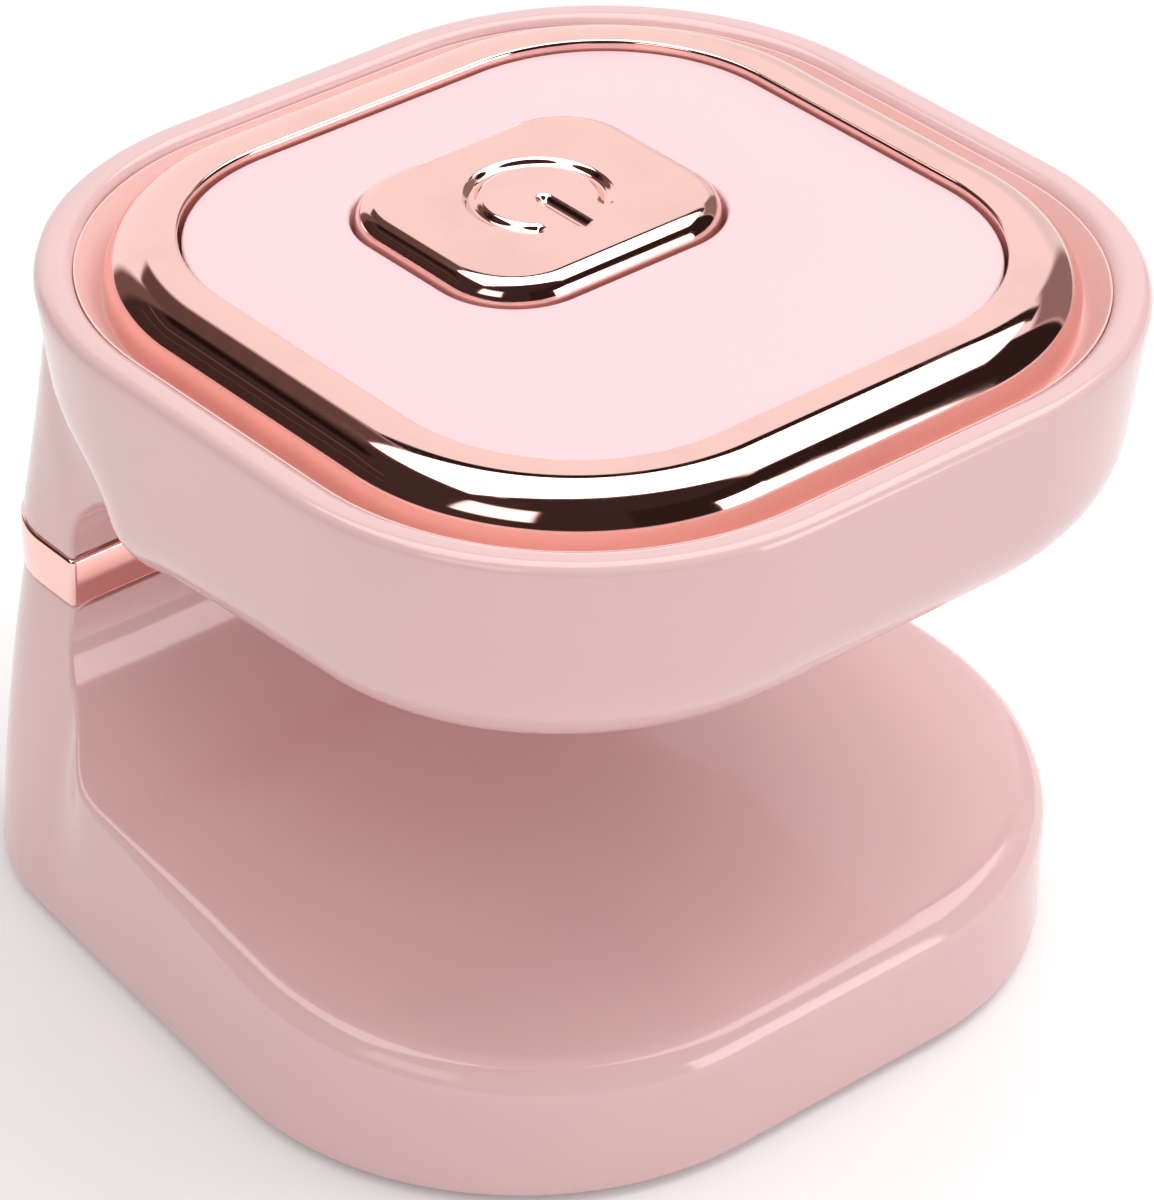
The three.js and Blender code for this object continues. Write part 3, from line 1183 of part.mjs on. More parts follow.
// Column
part('waist_band', waistBand(), ROSE_GOLD);
['left', 'right'].forEach((side, i) => {
  const shape = screw(
    LONG_SCREWS[i],
    Z_BAND - LONG_SCREW_GRIP,
    LONG_SCREW_GRIP + BAND_HEIGHT + LONG_SCREW_BITE - 2 * OVERRUN,
    LONG_SCREW_SHAFT_RADIUS,
    LONG_SCREW_HEAD_RADIUS,
    SCREW_HEAD_HEIGHT,
    SCREW_RECESS_RADIUS,
  );
  part(`column_screw_${side}`, shape, STEEL);
});

// Head
part('head_shell', headShell(), PINK_GLOSS);
part('lens_window', lensWindow(), CLEAR);
part('reflector', reflector(), CHROME);
part('led_board', ledBoard(), WHITE_BOARD);
ledPlaces.forEach((place, i) => part(`uv_led_${i + 1}`, diode(place), LED_PLASTIC));
LED_BOSSES.forEach((place, i) =>
  part(`led_board_screw_${i + 1}`, smallScrew(place, Z_LED_SEAT + LED_BOARD_THICKNESS, -1), STEEL));
part('control_board', controlBoard(), GREEN_BOARD);
[BOARD_POSTS[0], BOARD_POSTS[3]].forEach((place, i) =>
  part(`control_board_screw_${i + 1}`, smallScrew(place, Z_BOARD_TOP, -1), STEEL));
const chip = block(CHIP_REACH, Y_BOARD - CHIP_SHIFT, Z_BOARD_TOP, CHIP_LENGTH, CHIP_WIDTH, CHIP_HEIGHT);
part('control_chip', chip, BLACK_PLASTIC);
part('inductor', inductor(), BLACK_PLASTIC);
const capacitorTop = Z_BOARD_TOP + CAPACITOR_HEIGHT;
const capacitor = upright(CAPACITOR_RADIUS, Z_BOARD_TOP, capacitorTop, -COIL_REACH, Y_BOARD + COIL_SHIFT);
part('capacitor', capacitor, STEEL);
part('switch_body', switchBody(), BLACK_PLASTIC);
const plunger = upright(PLUNGER_RADIUS, Z_SWITCH_TOP - PLUNGER_DEPTH, Z_PLUNGER_TOP, 0, Y_BUTTON);
part('switch_plunger', plunger, WHITE_BOARD);
part('panel_carrier', panelCarrier(), PINK_MATTE);
CARRIER_BOSSES.forEach((place, i) =>
  part(`carrier_screw_${i + 1}`, smallScrew(place, Z_CARRIER_TOP - CARRIER_SCREW_SINK, -1), STEEL));
part('bezel_ring', bezelRing(), ROSE_GOLD);
part('top_panel', topPanel(), PINK_PANEL);
part('button_cap', buttonCap(), ROSE_GOLD);

export default lamp;
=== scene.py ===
"""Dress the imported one-finger nail lamp: fine housing shells, plated trim, studio and camera."""
from __future__ import annotations

import json
import logging
import math
from dataclasses import dataclass, field
from enum import Enum
from typing import Any, Callable, Sequence

import bmesh
import bpy
import numpy as np
from mathutils import Matrix, Vector

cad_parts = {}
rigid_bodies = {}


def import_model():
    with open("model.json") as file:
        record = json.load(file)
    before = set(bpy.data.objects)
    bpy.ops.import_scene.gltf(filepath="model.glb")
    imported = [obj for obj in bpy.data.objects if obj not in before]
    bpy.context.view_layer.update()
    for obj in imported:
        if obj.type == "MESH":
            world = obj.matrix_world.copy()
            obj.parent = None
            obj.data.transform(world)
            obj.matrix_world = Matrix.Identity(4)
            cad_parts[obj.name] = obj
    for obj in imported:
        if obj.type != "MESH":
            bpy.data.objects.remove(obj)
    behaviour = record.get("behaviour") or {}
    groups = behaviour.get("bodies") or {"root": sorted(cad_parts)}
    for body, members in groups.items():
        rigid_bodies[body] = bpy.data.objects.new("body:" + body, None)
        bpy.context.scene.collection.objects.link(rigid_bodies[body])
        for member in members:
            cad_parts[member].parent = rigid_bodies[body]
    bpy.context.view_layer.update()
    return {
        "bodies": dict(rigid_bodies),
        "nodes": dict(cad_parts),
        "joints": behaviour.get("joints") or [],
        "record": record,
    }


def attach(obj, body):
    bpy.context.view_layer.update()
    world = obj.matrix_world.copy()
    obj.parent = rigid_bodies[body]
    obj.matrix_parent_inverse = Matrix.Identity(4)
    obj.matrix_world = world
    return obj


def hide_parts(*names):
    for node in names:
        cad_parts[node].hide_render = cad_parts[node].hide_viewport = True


LOG = logging.getLogger("nail_lamp")
MM = 0.001
ROOT_HALF = math.sqrt(0.5)
QUARTER = math.pi / 2
WELD_GAP = 0.002
CUT_WELD = 0.004
OVERRUN = 1.0
FIT_GAP = 0.3
BISECTIONS = 46
SETTLE_STEPS = 3
LEAST_RISE = 0.05
TINY = 1e-12
FULL_TURN = 2 * math.pi
DEGREES = 180 / math.pi
SCREEN_KNEE = 0.04045
SCREEN_SLOPE = 12.92
SCREEN_LIFT = 0.055
SCREEN_POWER = 2.4
POST_SIDES = 40
OPENING_STEPS = 12
WINDOW_STEPS = 16
EDGE_ROWS = 6
SOFT_EDGE_DEGREES = 32.0
HARD_EDGE_DEGREES = 40.0

Array = np.ndarray
Colour = tuple[float, float, float]


def lerp(a: Any, b: Any, share: Any) -> Any:
    """Go from a to b by a share."""
    return a + (b - a) * share


def clamp(value: Any) -> Any:
    """Keep a share between nought and one."""
    return np.clip(value, 0.0, 1.0)


def smoothstep(value: Any, low: float, high: float) -> Any:
    """Rise smoothly from nought at low to one at high."""
    share = clamp((value - low) / (high - low))
    return share * share * (3 - 2 * share)


@dataclass(frozen=True)
class Plan:
    """A four-sided outline with rounded corners, alike left and right, in millimetres."""

    front_half: Any
    back_half: Any
    y_front: Any
    y_back: Any
    front_radius: Any
    back_radius: Any

    @classmethod
    def square(cls, width: float, radius: float, y: float, depth: float | None = None) -> "Plan":
        """A rounded rectangle about a middle on the centre line.

        Args:
            width: Size from left to right.
            radius: Corner radius.
            y: Where its middle lies.
            depth: Size from front to back, the width where it is left out.

        Returns:
            The plan.
        """
        half = (width if depth is None else depth) / 2
        return cls(width / 2, width / 2, y - half, y + half, radius, radius)

    def inset(self, by: Any, least: float = 0.2) -> "Plan":
        """Draw the outline in.

        Args:
            by: How far, below nought to push it out.
            least: The smallest corner radius that is left.

        Returns:
            The new plan.
        """
        return Plan(
            self.front_half - by,
            self.back_half - by,
            self.y_front + by,
            self.y_back - by,
            np.maximum(self.front_radius - by, least),
            np.maximum(self.back_radius - by, least),
        )

    def corners(self) -> tuple[Any, Any, Any, Any, Any, Any]:
        """The corner centres of the right half and the inward normal of its side.

        Returns:
            Front x and y, back x and y, normal x and y.
        """
        side_x = self.back_half - self.front_half
        side_y = self.y_back - self.y_front
        length = np.hypot(side_x, side_y)
        normal_x, normal_y = -side_y / length, side_x / length
        front_x = self.front_half + self.front_radius * (1 - normal_y) / normal_x
        back_x = self.back_half + self.back_radius * (1 + normal_y) / normal_x
        front_y = self.y_front + self.front_radius
        back_y = self.y_back - self.back_radius
        return front_x, front_y, back_x, back_y, normal_x, normal_y

    def reach(self, hub: float, angle: Any) -> Any:
        """The distance from a hub on the centre line to the outline.

        Args:
            hub: Where the hub lies along the centre line.
            angle: Directions, from the right towards the back.

        Returns:
            One distance for each direction.
        """
        across, along = np.abs(np.cos(angle)), np.sin(angle)
        front_x, front_y, back_x, back_y, normal_x, normal_y = self.corners()
        safe = np.where(np.abs(along) < TINY, TINY, along)
        flat = np.where(along < 0, self.y_front - hub, self.y_back - hub) / safe
        on_flat = (flat > 0) & (flat * across <= np.where(along < 0, front_x, back_x))
        facing = across * normal_x + along * normal_y
        facing = np.where(np.abs(facing) < TINY, TINY, facing)
        slant = (self.front_half * normal_x + (self.y_front - hub) * normal_y) / facing
        y = hub + slant * along
        low = front_y - normal_y * self.front_radius
        high = back_y - normal_y * self.back_radius
        before = y < low
        centre_x = np.where(before, front_x, back_x)
        centre_y = np.where(before, front_y, back_y) - hub
        radius = np.where(before, self.front_radius, self.back_radius)
        towards = centre_x * across + centre_y * along
        apart = centre_x**2 + centre_y**2 - radius**2
        round_reach = towards + np.sqrt(np.maximum(towards**2 - apart, 0))
        side = np.where((y >= low) & (y <= high) & (slant > 0), slant, round_reach)
        return np.where(on_flat, flat, side)

    def outline(self, steps: int) -> Array:
        """The outline's points, anticlockwise from the middle of its front.

        Args:
            steps: How many steps each corner has.

        Returns:
            Rows of x and y.
        """
        front_x, front_y, back_x, back_y, _, normal_y = self.corners()
        lean = math.asin(normal_y)
        first = np.linspace(-QUARTER, -lean, steps + 1)
        second = np.linspace(-lean, QUARTER, steps + 1)
        front = [front_x, front_y] + self.front_radius * np.stack([np.cos(first), np.sin(first)], 1)
        back = [back_x, back_y] + self.back_radius * np.stack([np.cos(second), np.sin(second)], 1)
        right = np.concatenate([front, back])
        return np.concatenate([right, (right * [-1, 1])[::-1]])


def quarter_inset(height: Any, radius: float) -> Any:
    """How far a quarter-round edge has drawn in at a height above its end."""
    left = np.clip(radius - np.maximum(height, 0), 0, radius)
    return radius - np.sqrt(radius**2 - left**2)


class Body:
    """A closed surface that grows by strips and fans of faces, in millimetres."""

    def __init__(self) -> None:
        """Start with nothing."""
        self.points: list[Array] = []
        self.faces: list[tuple[int, ...]] = []
        self.count = 0

    def add(self, points: Array) -> Array:
        """Take a row of points in.

        Args:
            points: Rows of x, y and z.

        Returns:
            The numbers of those points.
        """
        self.points.append(np.asarray(points, float))
        numbers = np.arange(self.count, self.count + len(points))
        self.count += len(points)
        return numbers

    def strip(self, low: Array, high: Array, closed: bool = False) -> None:
        """Quads between two rows of points.

        Args:
            low: One row.
            high: The next row, with as many points.
            closed: Whether the rows close on themselves.
        """
        a, b = self.add(low), self.add(high)
        last = len(a) if closed else len(a) - 1
        for i in range(last):
            j = (i + 1) % len(a)
            self.faces.append((a[i], a[j], b[j], b[i]))

    def fan(self, centre: Sequence[float], loop: Array) -> None:
        """Triangles from a centre to a closed loop.

        Args:
            centre: The point in the middle.
            loop: The loop's points in order.
        """
        (hub,) = self.add(np.array([centre]))
        rim = self.add(loop)
        for i in range(len(rim)):
            self.faces.append((hub, rim[i], rim[(i + 1) % len(rim)]))

    def cap(self, loop: Array) -> None:
        """One many-sided face over a level loop."""
        self.faces.append(tuple(self.add(loop)))

    def build(self, name: str, flipped: bool = False) -> bpy.types.Object:
        """Make the Blender object.

        Args:
            name: The object's name.
            flipped: Whether the faces are turned over.

        Returns:
            The object, in metres.
        """
        mesh = bpy.data.meshes.new(name)
        points = np.concatenate(self.points) * MM
        mesh.from_pydata(points.tolist(), [], [[int(v) for v in f] for f in self.faces])
        work = bmesh.new()
        work.from_mesh(mesh)
        bmesh.ops.remove_doubles(work, verts=work.verts, dist=WELD_GAP * MM)
        bmesh.ops.dissolve_degenerate(work, edges=work.edges, dist=WELD_GAP * MM)
        if flipped:
            bmesh.ops.reverse_faces(work, faces=work.faces)
        work.to_mesh(mesh)
        work.free()
        piece = bpy.data.objects.new(name, mesh)
        bpy.context.scene.collection.objects.link(piece)
        return piece


def at_level(outline: Array, z: float) -> Array:
    """Lift a flat outline to a level."""
    return np.column_stack([outline, np.full(len(outline), z)])


def loft(name: str, levels: Sequence[tuple[Plan, float]], steps: int) -> bpy.types.Object:
    """A closed body through level outlines.

    Args:
        name: The object's name.
        levels: Plans with their heights, from the lowest up.
        steps: How many steps each corner has.

    Returns:
        The object.
    """
    body = Body()
    rows = [at_level(plan.outline(steps), z) for plan, z in levels]
    for low, high in zip(rows, rows[1:]):
        body.strip(low, high, closed=True)
    body.cap(rows[0][::-1])
    body.cap(rows[-1])
    return body.build(name)


def plan_ring(name: str, plan: Plan, section: Sequence[tuple[float, float]], steps: int) -> bpy.types.Object:
    """A ring that follows a plan.

    Args:
        name: The object's name.
        plan: The outline that it follows.
        section: Closed list of outward places and heights, anticlockwise.
        steps: How many steps each corner has.

    Returns:
        The object.
    """
    body = Body()
    rows = [at_level(plan.inset(-out).outline(steps), z) for out, z in section]
    for row, after in zip(rows, rows[1:] + rows[:1]):
        body.strip(row, after, closed=True)
    return body.build(name)


def lathe(
    name: str, profile: Sequence[tuple[float, float]], place: Sequence[float], sides: int
) -> bpy.types.Object:
    """A body turned about an upright line.

    Args:
        name: The object's name.
        profile: Radii and heights, from the lower middle to the upper middle.
        place: Where the line stands, with a level that the heights count from.
        sides: How many sides the body has.

    Returns:
        The object.
    """
    body = Body()
    turns = np.linspace(0, FULL_TURN, sides, endpoint=False)
    circle = np.stack([np.cos(turns), np.sin(turns)], 1)
    x, y, z = place
    rows = [at_level(circle * radius + [x, y], z + height) for radius, height in profile]
    for low, high in zip(rows, rows[1:]):
        body.strip(low, high, closed=True)
    return body.build(name)


def post(radius: float, low: float, high: float, place: Sequence[float]) -> bpy.types.Object:
    """An upright round post, as a tool for cutting or joining."""
    return lathe("post", [(0, low), (radius, low), (radius, high), (0, high)], (*place, 0), POST_SIDES)


def block(place: Sequence[float], low: float, size: Sequence[float]) -> bpy.types.Object:
    """A box that stands on a level, as a tool for cutting or joining.

    Args:
        place: The middle's x and y.
        low: Its lowest level.
        size: Its width, depth and height.

    Returns:
        The object.
    """
    x, y = place
    width, depth, height = size
    corners = np.array([[x - width / 2, y - depth / 2], [x + width / 2, y - depth / 2],
                        [x + width / 2, y + depth / 2], [x - width / 2, y + depth / 2]])
    body = Body()
    rows = [at_level(corners, low), at_level(corners, low + height)]
    body.strip(rows[0], rows[1], closed=True)
    body.cap(rows[0][::-1])
    body.cap(rows[1])
    return body.build("block")


class Joint(Enum):
    """How a tool acts on a body."""

    CUT = "DIFFERENCE"
    JOIN = "UNION"


def carve(piece: bpy.types.Object, tools: Sequence[bpy.types.Object], joint: Joint) -> None:
    """Cut tools from a piece, or join them to it, and use them up.

    Args:
        piece: The object that changes.
        tools: Closed objects.
        joint: Whether they are cut away or joined.
    """
    for tool in tools:
        modifier = piece.modifiers.new("carve", "BOOLEAN")
        modifier.object = tool
        modifier.operation = joint.value
        modifier.solver = "MANIFOLD"
        bake_modifiers(piece)
        bpy.data.objects.remove(tool)
    mend(piece)


def mend(piece: bpy.types.Object) -> None:
    """Weld points that cutting left next to each other, and drop the faces that have no area.

    Args:
        piece: The object that was cut.
    """
    work = bmesh.new()
    work.from_mesh(piece.data)
    bmesh.ops.remove_doubles(work, verts=work.verts, dist=CUT_WELD * MM)
    bmesh.ops.dissolve_degenerate(work, edges=work.edges, dist=CUT_WELD * MM)
    work.to_mesh(piece.data)
    work.free()


def bake_modifiers(piece: bpy.types.Object) -> None:
    """Put what the modifiers make into the piece's own mesh.

    Args:
        piece: The object.
    """
    graph = bpy.context.evaluated_depsgraph_get()
    mesh = bpy.data.meshes.new_from_object(piece.evaluated_get(graph))
    old = piece.data
    piece.modifiers.clear()
    piece.data = mesh
    mesh.name = old.name
    bpy.data.meshes.remove(old)


def smooth(piece: bpy.types.Object, degrees: float = SOFT_EDGE_DEGREES) -> None:
    """Shade a piece smoothly, apart from its sharp edges.

    Args:
        piece: The object.
        degrees: The least angle between faces at a sharp edge.
    """
    mesh = piece.data
    mesh.shade_smooth()
    mesh.set_sharp_from_angle(angle=math.radians(degrees))
    mesh.update()


@dataclass(frozen=True)
class Fineness:
    """How many steps each stretch of a moulding has."""

    corner: int = 28
    side: int = 8
    turn: int = 14
    fillet: int = 20
    neck: int = 5
    front: int = 10
    back: int = 72
    neck_round: int = 4
    rows: int = 10
    edge: int = 10


@dataclass
class Moulding:
    """Half of the housing: a tray whose flat face climbs through a fillet to a column.

    Height runs from the tray's open end, past the flat face of the bay, to the column's free end. The
    head is made alike, upside down.
    """

    reach_at: Callable[[Any, Any], Any]
    level: Callable[[Any], Any]
    flat_at: Callable[[Any], Any]
    slope: float
    hub: float
    y_column: float
    inner_face: float
    fillet: float
    edge: float
    least_edge: float
    fade: float
    front_plan: Plan
    open_levels: Array
    neck_height: float
    neck_round: float
    flipped: bool
    fineness: Fineness = field(default_factory=Fineness)

    def __post_init__(self) -> None:
        """Work out the fillet."""
        self.tilt = math.atan(self.slope)
        self.arc = self.fillet * (QUARTER - self.tilt)
        self.y_centre = self.inner_face - self.fillet
        self.centre_height = self.flat_at(self.y_centre) + self.fillet / math.cos(self.tilt)
        self.y_start = self.y_centre + self.fillet * math.sin(self.tilt)
        self.start_height = self.centre_height - self.fillet * math.cos(self.tilt)

    def wall(self, angle: Any, height: Any) -> Array:
        """Points of the outer wall.

        Args:
            angle: Directions from the hub.
            height: Heights over the open end.

        Returns:
            Rows of x, y and height.
        """
        angle, height = np.broadcast_arrays(np.asarray(angle, float), np.asarray(height, float))
        r = self.reach_at(height, angle)
        if self.neck_round:
            r = r - quarter_inset(self.neck_height - height, self.neck_round)
        return np.stack([r * np.cos(angle), self.hub + r * np.sin(angle), height], -1)

    def angle_at(self, y: Any, height: Any) -> Array:
        """The directions in which the wall passes through places along the centre line.

        Args:
            y: The places.
            height: Heights over the open end.

        Returns:
            One angle for each place.
        """
        y, height = np.broadcast_arrays(np.asarray(y, float), np.asarray(height, float))
        low = np.full(y.shape, -QUARTER)
        high = np.full(y.shape, QUARTER)
        for _ in range(BISECTIONS):
            middle = (low + high) / 2
            short = self.wall(middle, height)[..., 1] < y
            low, high = np.where(short, middle, low), np.where(short, high, middle)
        return (low + high) / 2

    def bay(self, x: Any, run: Any) -> Array:
        """Points of the bay's face.

        Args:
            x: Places across.
            run: Their run from the start of the fillet.

        Returns:
            Rows of x, y and height.
        """
        x, run = np.broadcast_arrays(np.asarray(x, float), np.asarray(run, float))
        turn = self.tilt + run / self.fillet
        flat_y = self.y_start + run * math.cos(self.tilt)
        flat_height = self.start_height + run * math.sin(self.tilt)
        y = np.where(run <= 0, flat_y, self.y_centre + self.fillet * np.sin(turn))
        y = np.where(run >= self.arc, self.inner_face, y)
        height = np.where(run <= 0, flat_height, self.centre_height - self.fillet * np.cos(turn))
        height = np.where(run >= self.arc, self.centre_height + run - self.arc, height)
        return np.stack([x, y, height], -1)

    def edge_course(self) -> tuple[Array, Array, Array, int]:
        """Follow the bay's edge on the right, from the end of the straight front to the column's end.

        Returns:
            Angles, heights, turns of the bay's face, and how many of them lie on the flat.
        """
        fine = self.fineness
        plan = self.front_plan
        front_x, front_y, _, back_y, _, normal_y = plan.corners()
        lean = math.asin(normal_y)
        turns = np.linspace(-QUARTER, -lean, fine.corner + 1)
        x = front_x + plan.front_radius * np.cos(turns)
        y = front_y + plan.front_radius * np.sin(turns)
        angle = np.arctan2(y - self.hub, x)
        height = np.full(len(angle), self.flat_at(plan.y_front))
        for _ in range(SETTLE_STEPS):
            height = self.flat_at(self.wall(angle, height)[:, 1])
        y_side = self.wall(angle[-1], height[-1])[1]
        y_turn = min(back_y - normal_y * plan.back_radius, self.y_start)
        ahead = np.linspace(y_side, y_turn, fine.side + 1)[1:]
        if y_turn < self.y_start:
            ahead = np.concatenate([ahead, np.linspace(y_turn, self.y_start, fine.turn + 1)[1:]])
        angle = np.concatenate([angle, self.angle_at(ahead, self.flat_at(ahead))])
        height = np.concatenate([height, self.flat_at(ahead)])
        flat_count = len(angle)
        turn = np.linspace(self.tilt, QUARTER, fine.fillet + 1)[1:]
        rounded = self.bay(0, self.fillet * (turn - self.tilt))
        up = np.linspace(self.centre_height, self.neck_height - self.neck_round, fine.neck + 1)[1:]
        if self.neck_round:
            turns = np.linspace(QUARTER, 0, fine.neck_round + 1)[1:]
            up = np.concatenate([up, self.neck_height - self.neck_round * (1 - np.cos(turns))])
        angle = np.concatenate(
            [angle, self.angle_at(rounded[:, 1], rounded[:, 2]), self.angle_at(self.inner_face, up)]
        )
        height = np.concatenate([height, rounded[:, 2], up])
        turn = np.concatenate([np.full(flat_count, self.tilt), turn, np.full(len(up), QUARTER)])
        return angle, height, turn, flat_count

    def build(self, name: str) -> bpy.types.Object:
        """Make the moulding.

        Args:
            name: The object's name.

        Returns:
            The closed object.
        """
        fine = self.fineness
        angle, height, turn, flat_count = self.edge_course()
        count = len(angle)
        neck = count - flat_count - fine.fillet
        corner = self.wall(angle, height)
        y = corner[:, 1]
        on_flat = np.arange(count) < flat_count
        climbed = np.maximum(height - self.centre_height, 0)
        run = np.where(
            on_flat, (y - self.y_start) / math.cos(self.tilt), self.fillet * (turn - self.tilt) + climbed
        )
        edge = lerp(self.edge, self.least_edge, smoothstep(y, self.inner_face - self.fade, self.inner_face))
        before, after = np.maximum(np.arange(count) - 1, 0), np.minimum(np.arange(count) + 1, count - 1)
        course = np.stack([corner[after, 0] - corner[before, 0], run[after] - run[before]], 1)
        course /= np.linalg.norm(course, axis=1)[:, None]
        inward = np.stack([-course[:, 1], course[:, 0]], 1)
        inward[0] = (0, 1)
        bay = np.stack([corner[:, 0] + inward[:, 0] * edge, run + inward[:, 1] * edge], 1)
        y_below = y + edge * np.sin(turn)

        def below(levels: Array) -> Array:
            """The wall's points under each place of the edge, at one height each."""
            held = np.where(np.arange(count) <= fine.corner, angle, self.angle_at(y_below, levels))
            return self.wall(held, levels)

        wall = below(height - edge * np.cos(turn))

        def whole(points: Array) -> Array:
            """Add the left side and the straight front to points of the right side.

            Args:
                points: The right side's points.

            Returns:
                The points of the whole course.
            """
            shares = np.linspace(0, 1, fine.front + 1)[1:-1]
            straight = np.repeat(points[:1], len(shares), axis=0)
            straight[:, 0] = lerp(-points[0, 0], points[0, 0], shares)
            left = (points * np.array([-1.0] + [1.0] * (points.shape[1] - 1)))[::-1]
            return np.concatenate([left, straight, points])

        def placed(points: Array) -> Array:
            """Turn heights into levels."""
            return np.column_stack([points[..., :2], self.level(points[..., 2])])

        body = Body()
        bay_points = self.bay(*whole(bay).T)
        wall_whole, corner_whole = whole(wall), whole(corner)
        rounds = []
        for k in range(fine.edge + 1):
            s = k / fine.edge
            shares = ((1 - s) ** 2, 2 * ROOT_HALF * s * (1 - s), s**2)
            mixed = shares[0] * wall_whole + shares[1] * corner_whole + shares[2] * bay_points
            rounds.append(placed(mixed / sum(shares)))
        for low, high in zip(rounds, rounds[1:]):
            body.strip(low, high)
        right_start = len(rounds[0]) - count

        def heights_to(top: Any) -> list[Any]:
            """The heights of the wall's rows, under a top."""
            more = [lerp(self.open_levels[-1], top, i / fine.rows) for i in range(1, fine.rows)]
            return list(self.open_levels) + more

        tops = wall[:, 2]
        front_rows = []
        for levels in heights_to(tops):
            row = below(np.broadcast_to(np.asarray(levels, float), tops.shape))
            front_rows.append(placed(whole(row)[neck:-neck]))
        row_count = len(front_rows)
        front_rows.append(rounds[0][neck:-neck])
        for low, high in zip(front_rows, front_rows[1:]):
            body.strip(low, high)

        fillet_end = count - 1 - neck
        top = wall[fillet_end, 2]
        back_heights = heights_to(top) + [top] + list(height[fillet_end + 1 :])
        back_rows = []
        for r, level in enumerate(back_heights):
            step = max(r - row_count, 0)
            if step:
                ends = rounds[0][right_start + fillet_end + step], rounds[0][neck - step]
            else:
                ends = front_rows[r][-1], front_rows[r][0]
            start = float(self.angle_at(wall[fillet_end + step, 1], level))
            angles = np.linspace(start, math.pi - start, fine.back + 1)[1:-1]
            middle = placed(self.wall(angles, level))
            back_rows.append(np.concatenate([ends[0][None], middle, ends[1][None]]))
        for low, high in zip(back_rows, back_rows[1:]):
            body.strip(low, high)

        bay_edge = rounds[-1]
        shares = np.linspace(0, 1, fine.front + 1)
        bay_rows = [bay_edge[count - 1 : right_start + 1]]
        for i in range(1, count):
            row = placed(self.bay(lerp(-bay[i, 0], bay[i, 0], shares), bay[i, 1]))
            row[0], row[-1] = bay_edge[count - 1 - i], bay_edge[right_start + i]
            bay_rows.append(row)
        for low, high in zip(bay_rows, bay_rows[1:]):
            body.strip(low, high)

        foot = np.concatenate([front_rows[0], back_rows[0][1:-1]])
        body.fan((0, self.hub, self.level(self.open_levels[0])), foot[::-1])
        left_round = np.array([row[0] for row in rounds[1:]])
        right_round = np.array([row[-1] for row in rounds[1:]])[::-1]
        loop = np.concatenate([back_rows[-1], left_round, bay_rows[-1][1:-1], right_round])
        body.fan((0, self.y_column, self.level(self.neck_height)), loop)
        return body.build(name, self.flipped)


def round_levels(radius: float, steps: int, below: float = 0.0) -> Array:
    """The heights of the rows over a quarter-round edge at an open end.

    Args:
        radius: The edge's radius.
        steps: How many steps the round has.
        below: How far a first row lies outside the end, for a cutter.

    Returns:
        The heights, rising.
    """
    rows = radius * (1 - np.cos(np.linspace(0, QUARTER, steps + 1)))
    return np.concatenate([[-below], rows]) if below else rows


def paint(red: int, green: int, blue: int) -> Colour:
    """A colour as a screen shows it, turned into the light that a shader takes.

    Args:
        red: Red, from 0 to 255.
        green: Green, from 0 to 255.
        blue: Blue, from 0 to 255.

    Returns:
        The shares of light.
    """
    shares = [value / 255 for value in (red, green, blue)]
    return tuple(
        s / SCREEN_SLOPE if s <= SCREEN_KNEE else ((s + SCREEN_LIFT) / (1 + SCREEN_LIFT)) ** SCREEN_POWER
        for s in shares
    )


class Signal:
    """A value that varies over a surface. Maths on it adds nodes to its tree."""

    def __init__(self, tree: "Tree", socket: bpy.types.NodeSocket) -> None:
        """Wrap a socket of a tree."""
        self.tree = tree
        self.socket = socket

    def __add__(self, other: "Signal | float") -> "Signal":
        """This plus another."""
        return self.tree.maths("ADD", self, other)

    __radd__ = __add__

    def __sub__(self, other: "Signal | float") -> "Signal":
        """This less another."""
        return self.tree.maths("SUBTRACT", self, other)

    def __rsub__(self, other: float) -> "Signal":
        """Another less this."""
        return self.tree.maths("SUBTRACT", other, self)

    def __mul__(self, other: "Signal | float") -> "Signal":
        """This times another."""
        return self.tree.maths("MULTIPLY", self, other)

    __rmul__ = __mul__


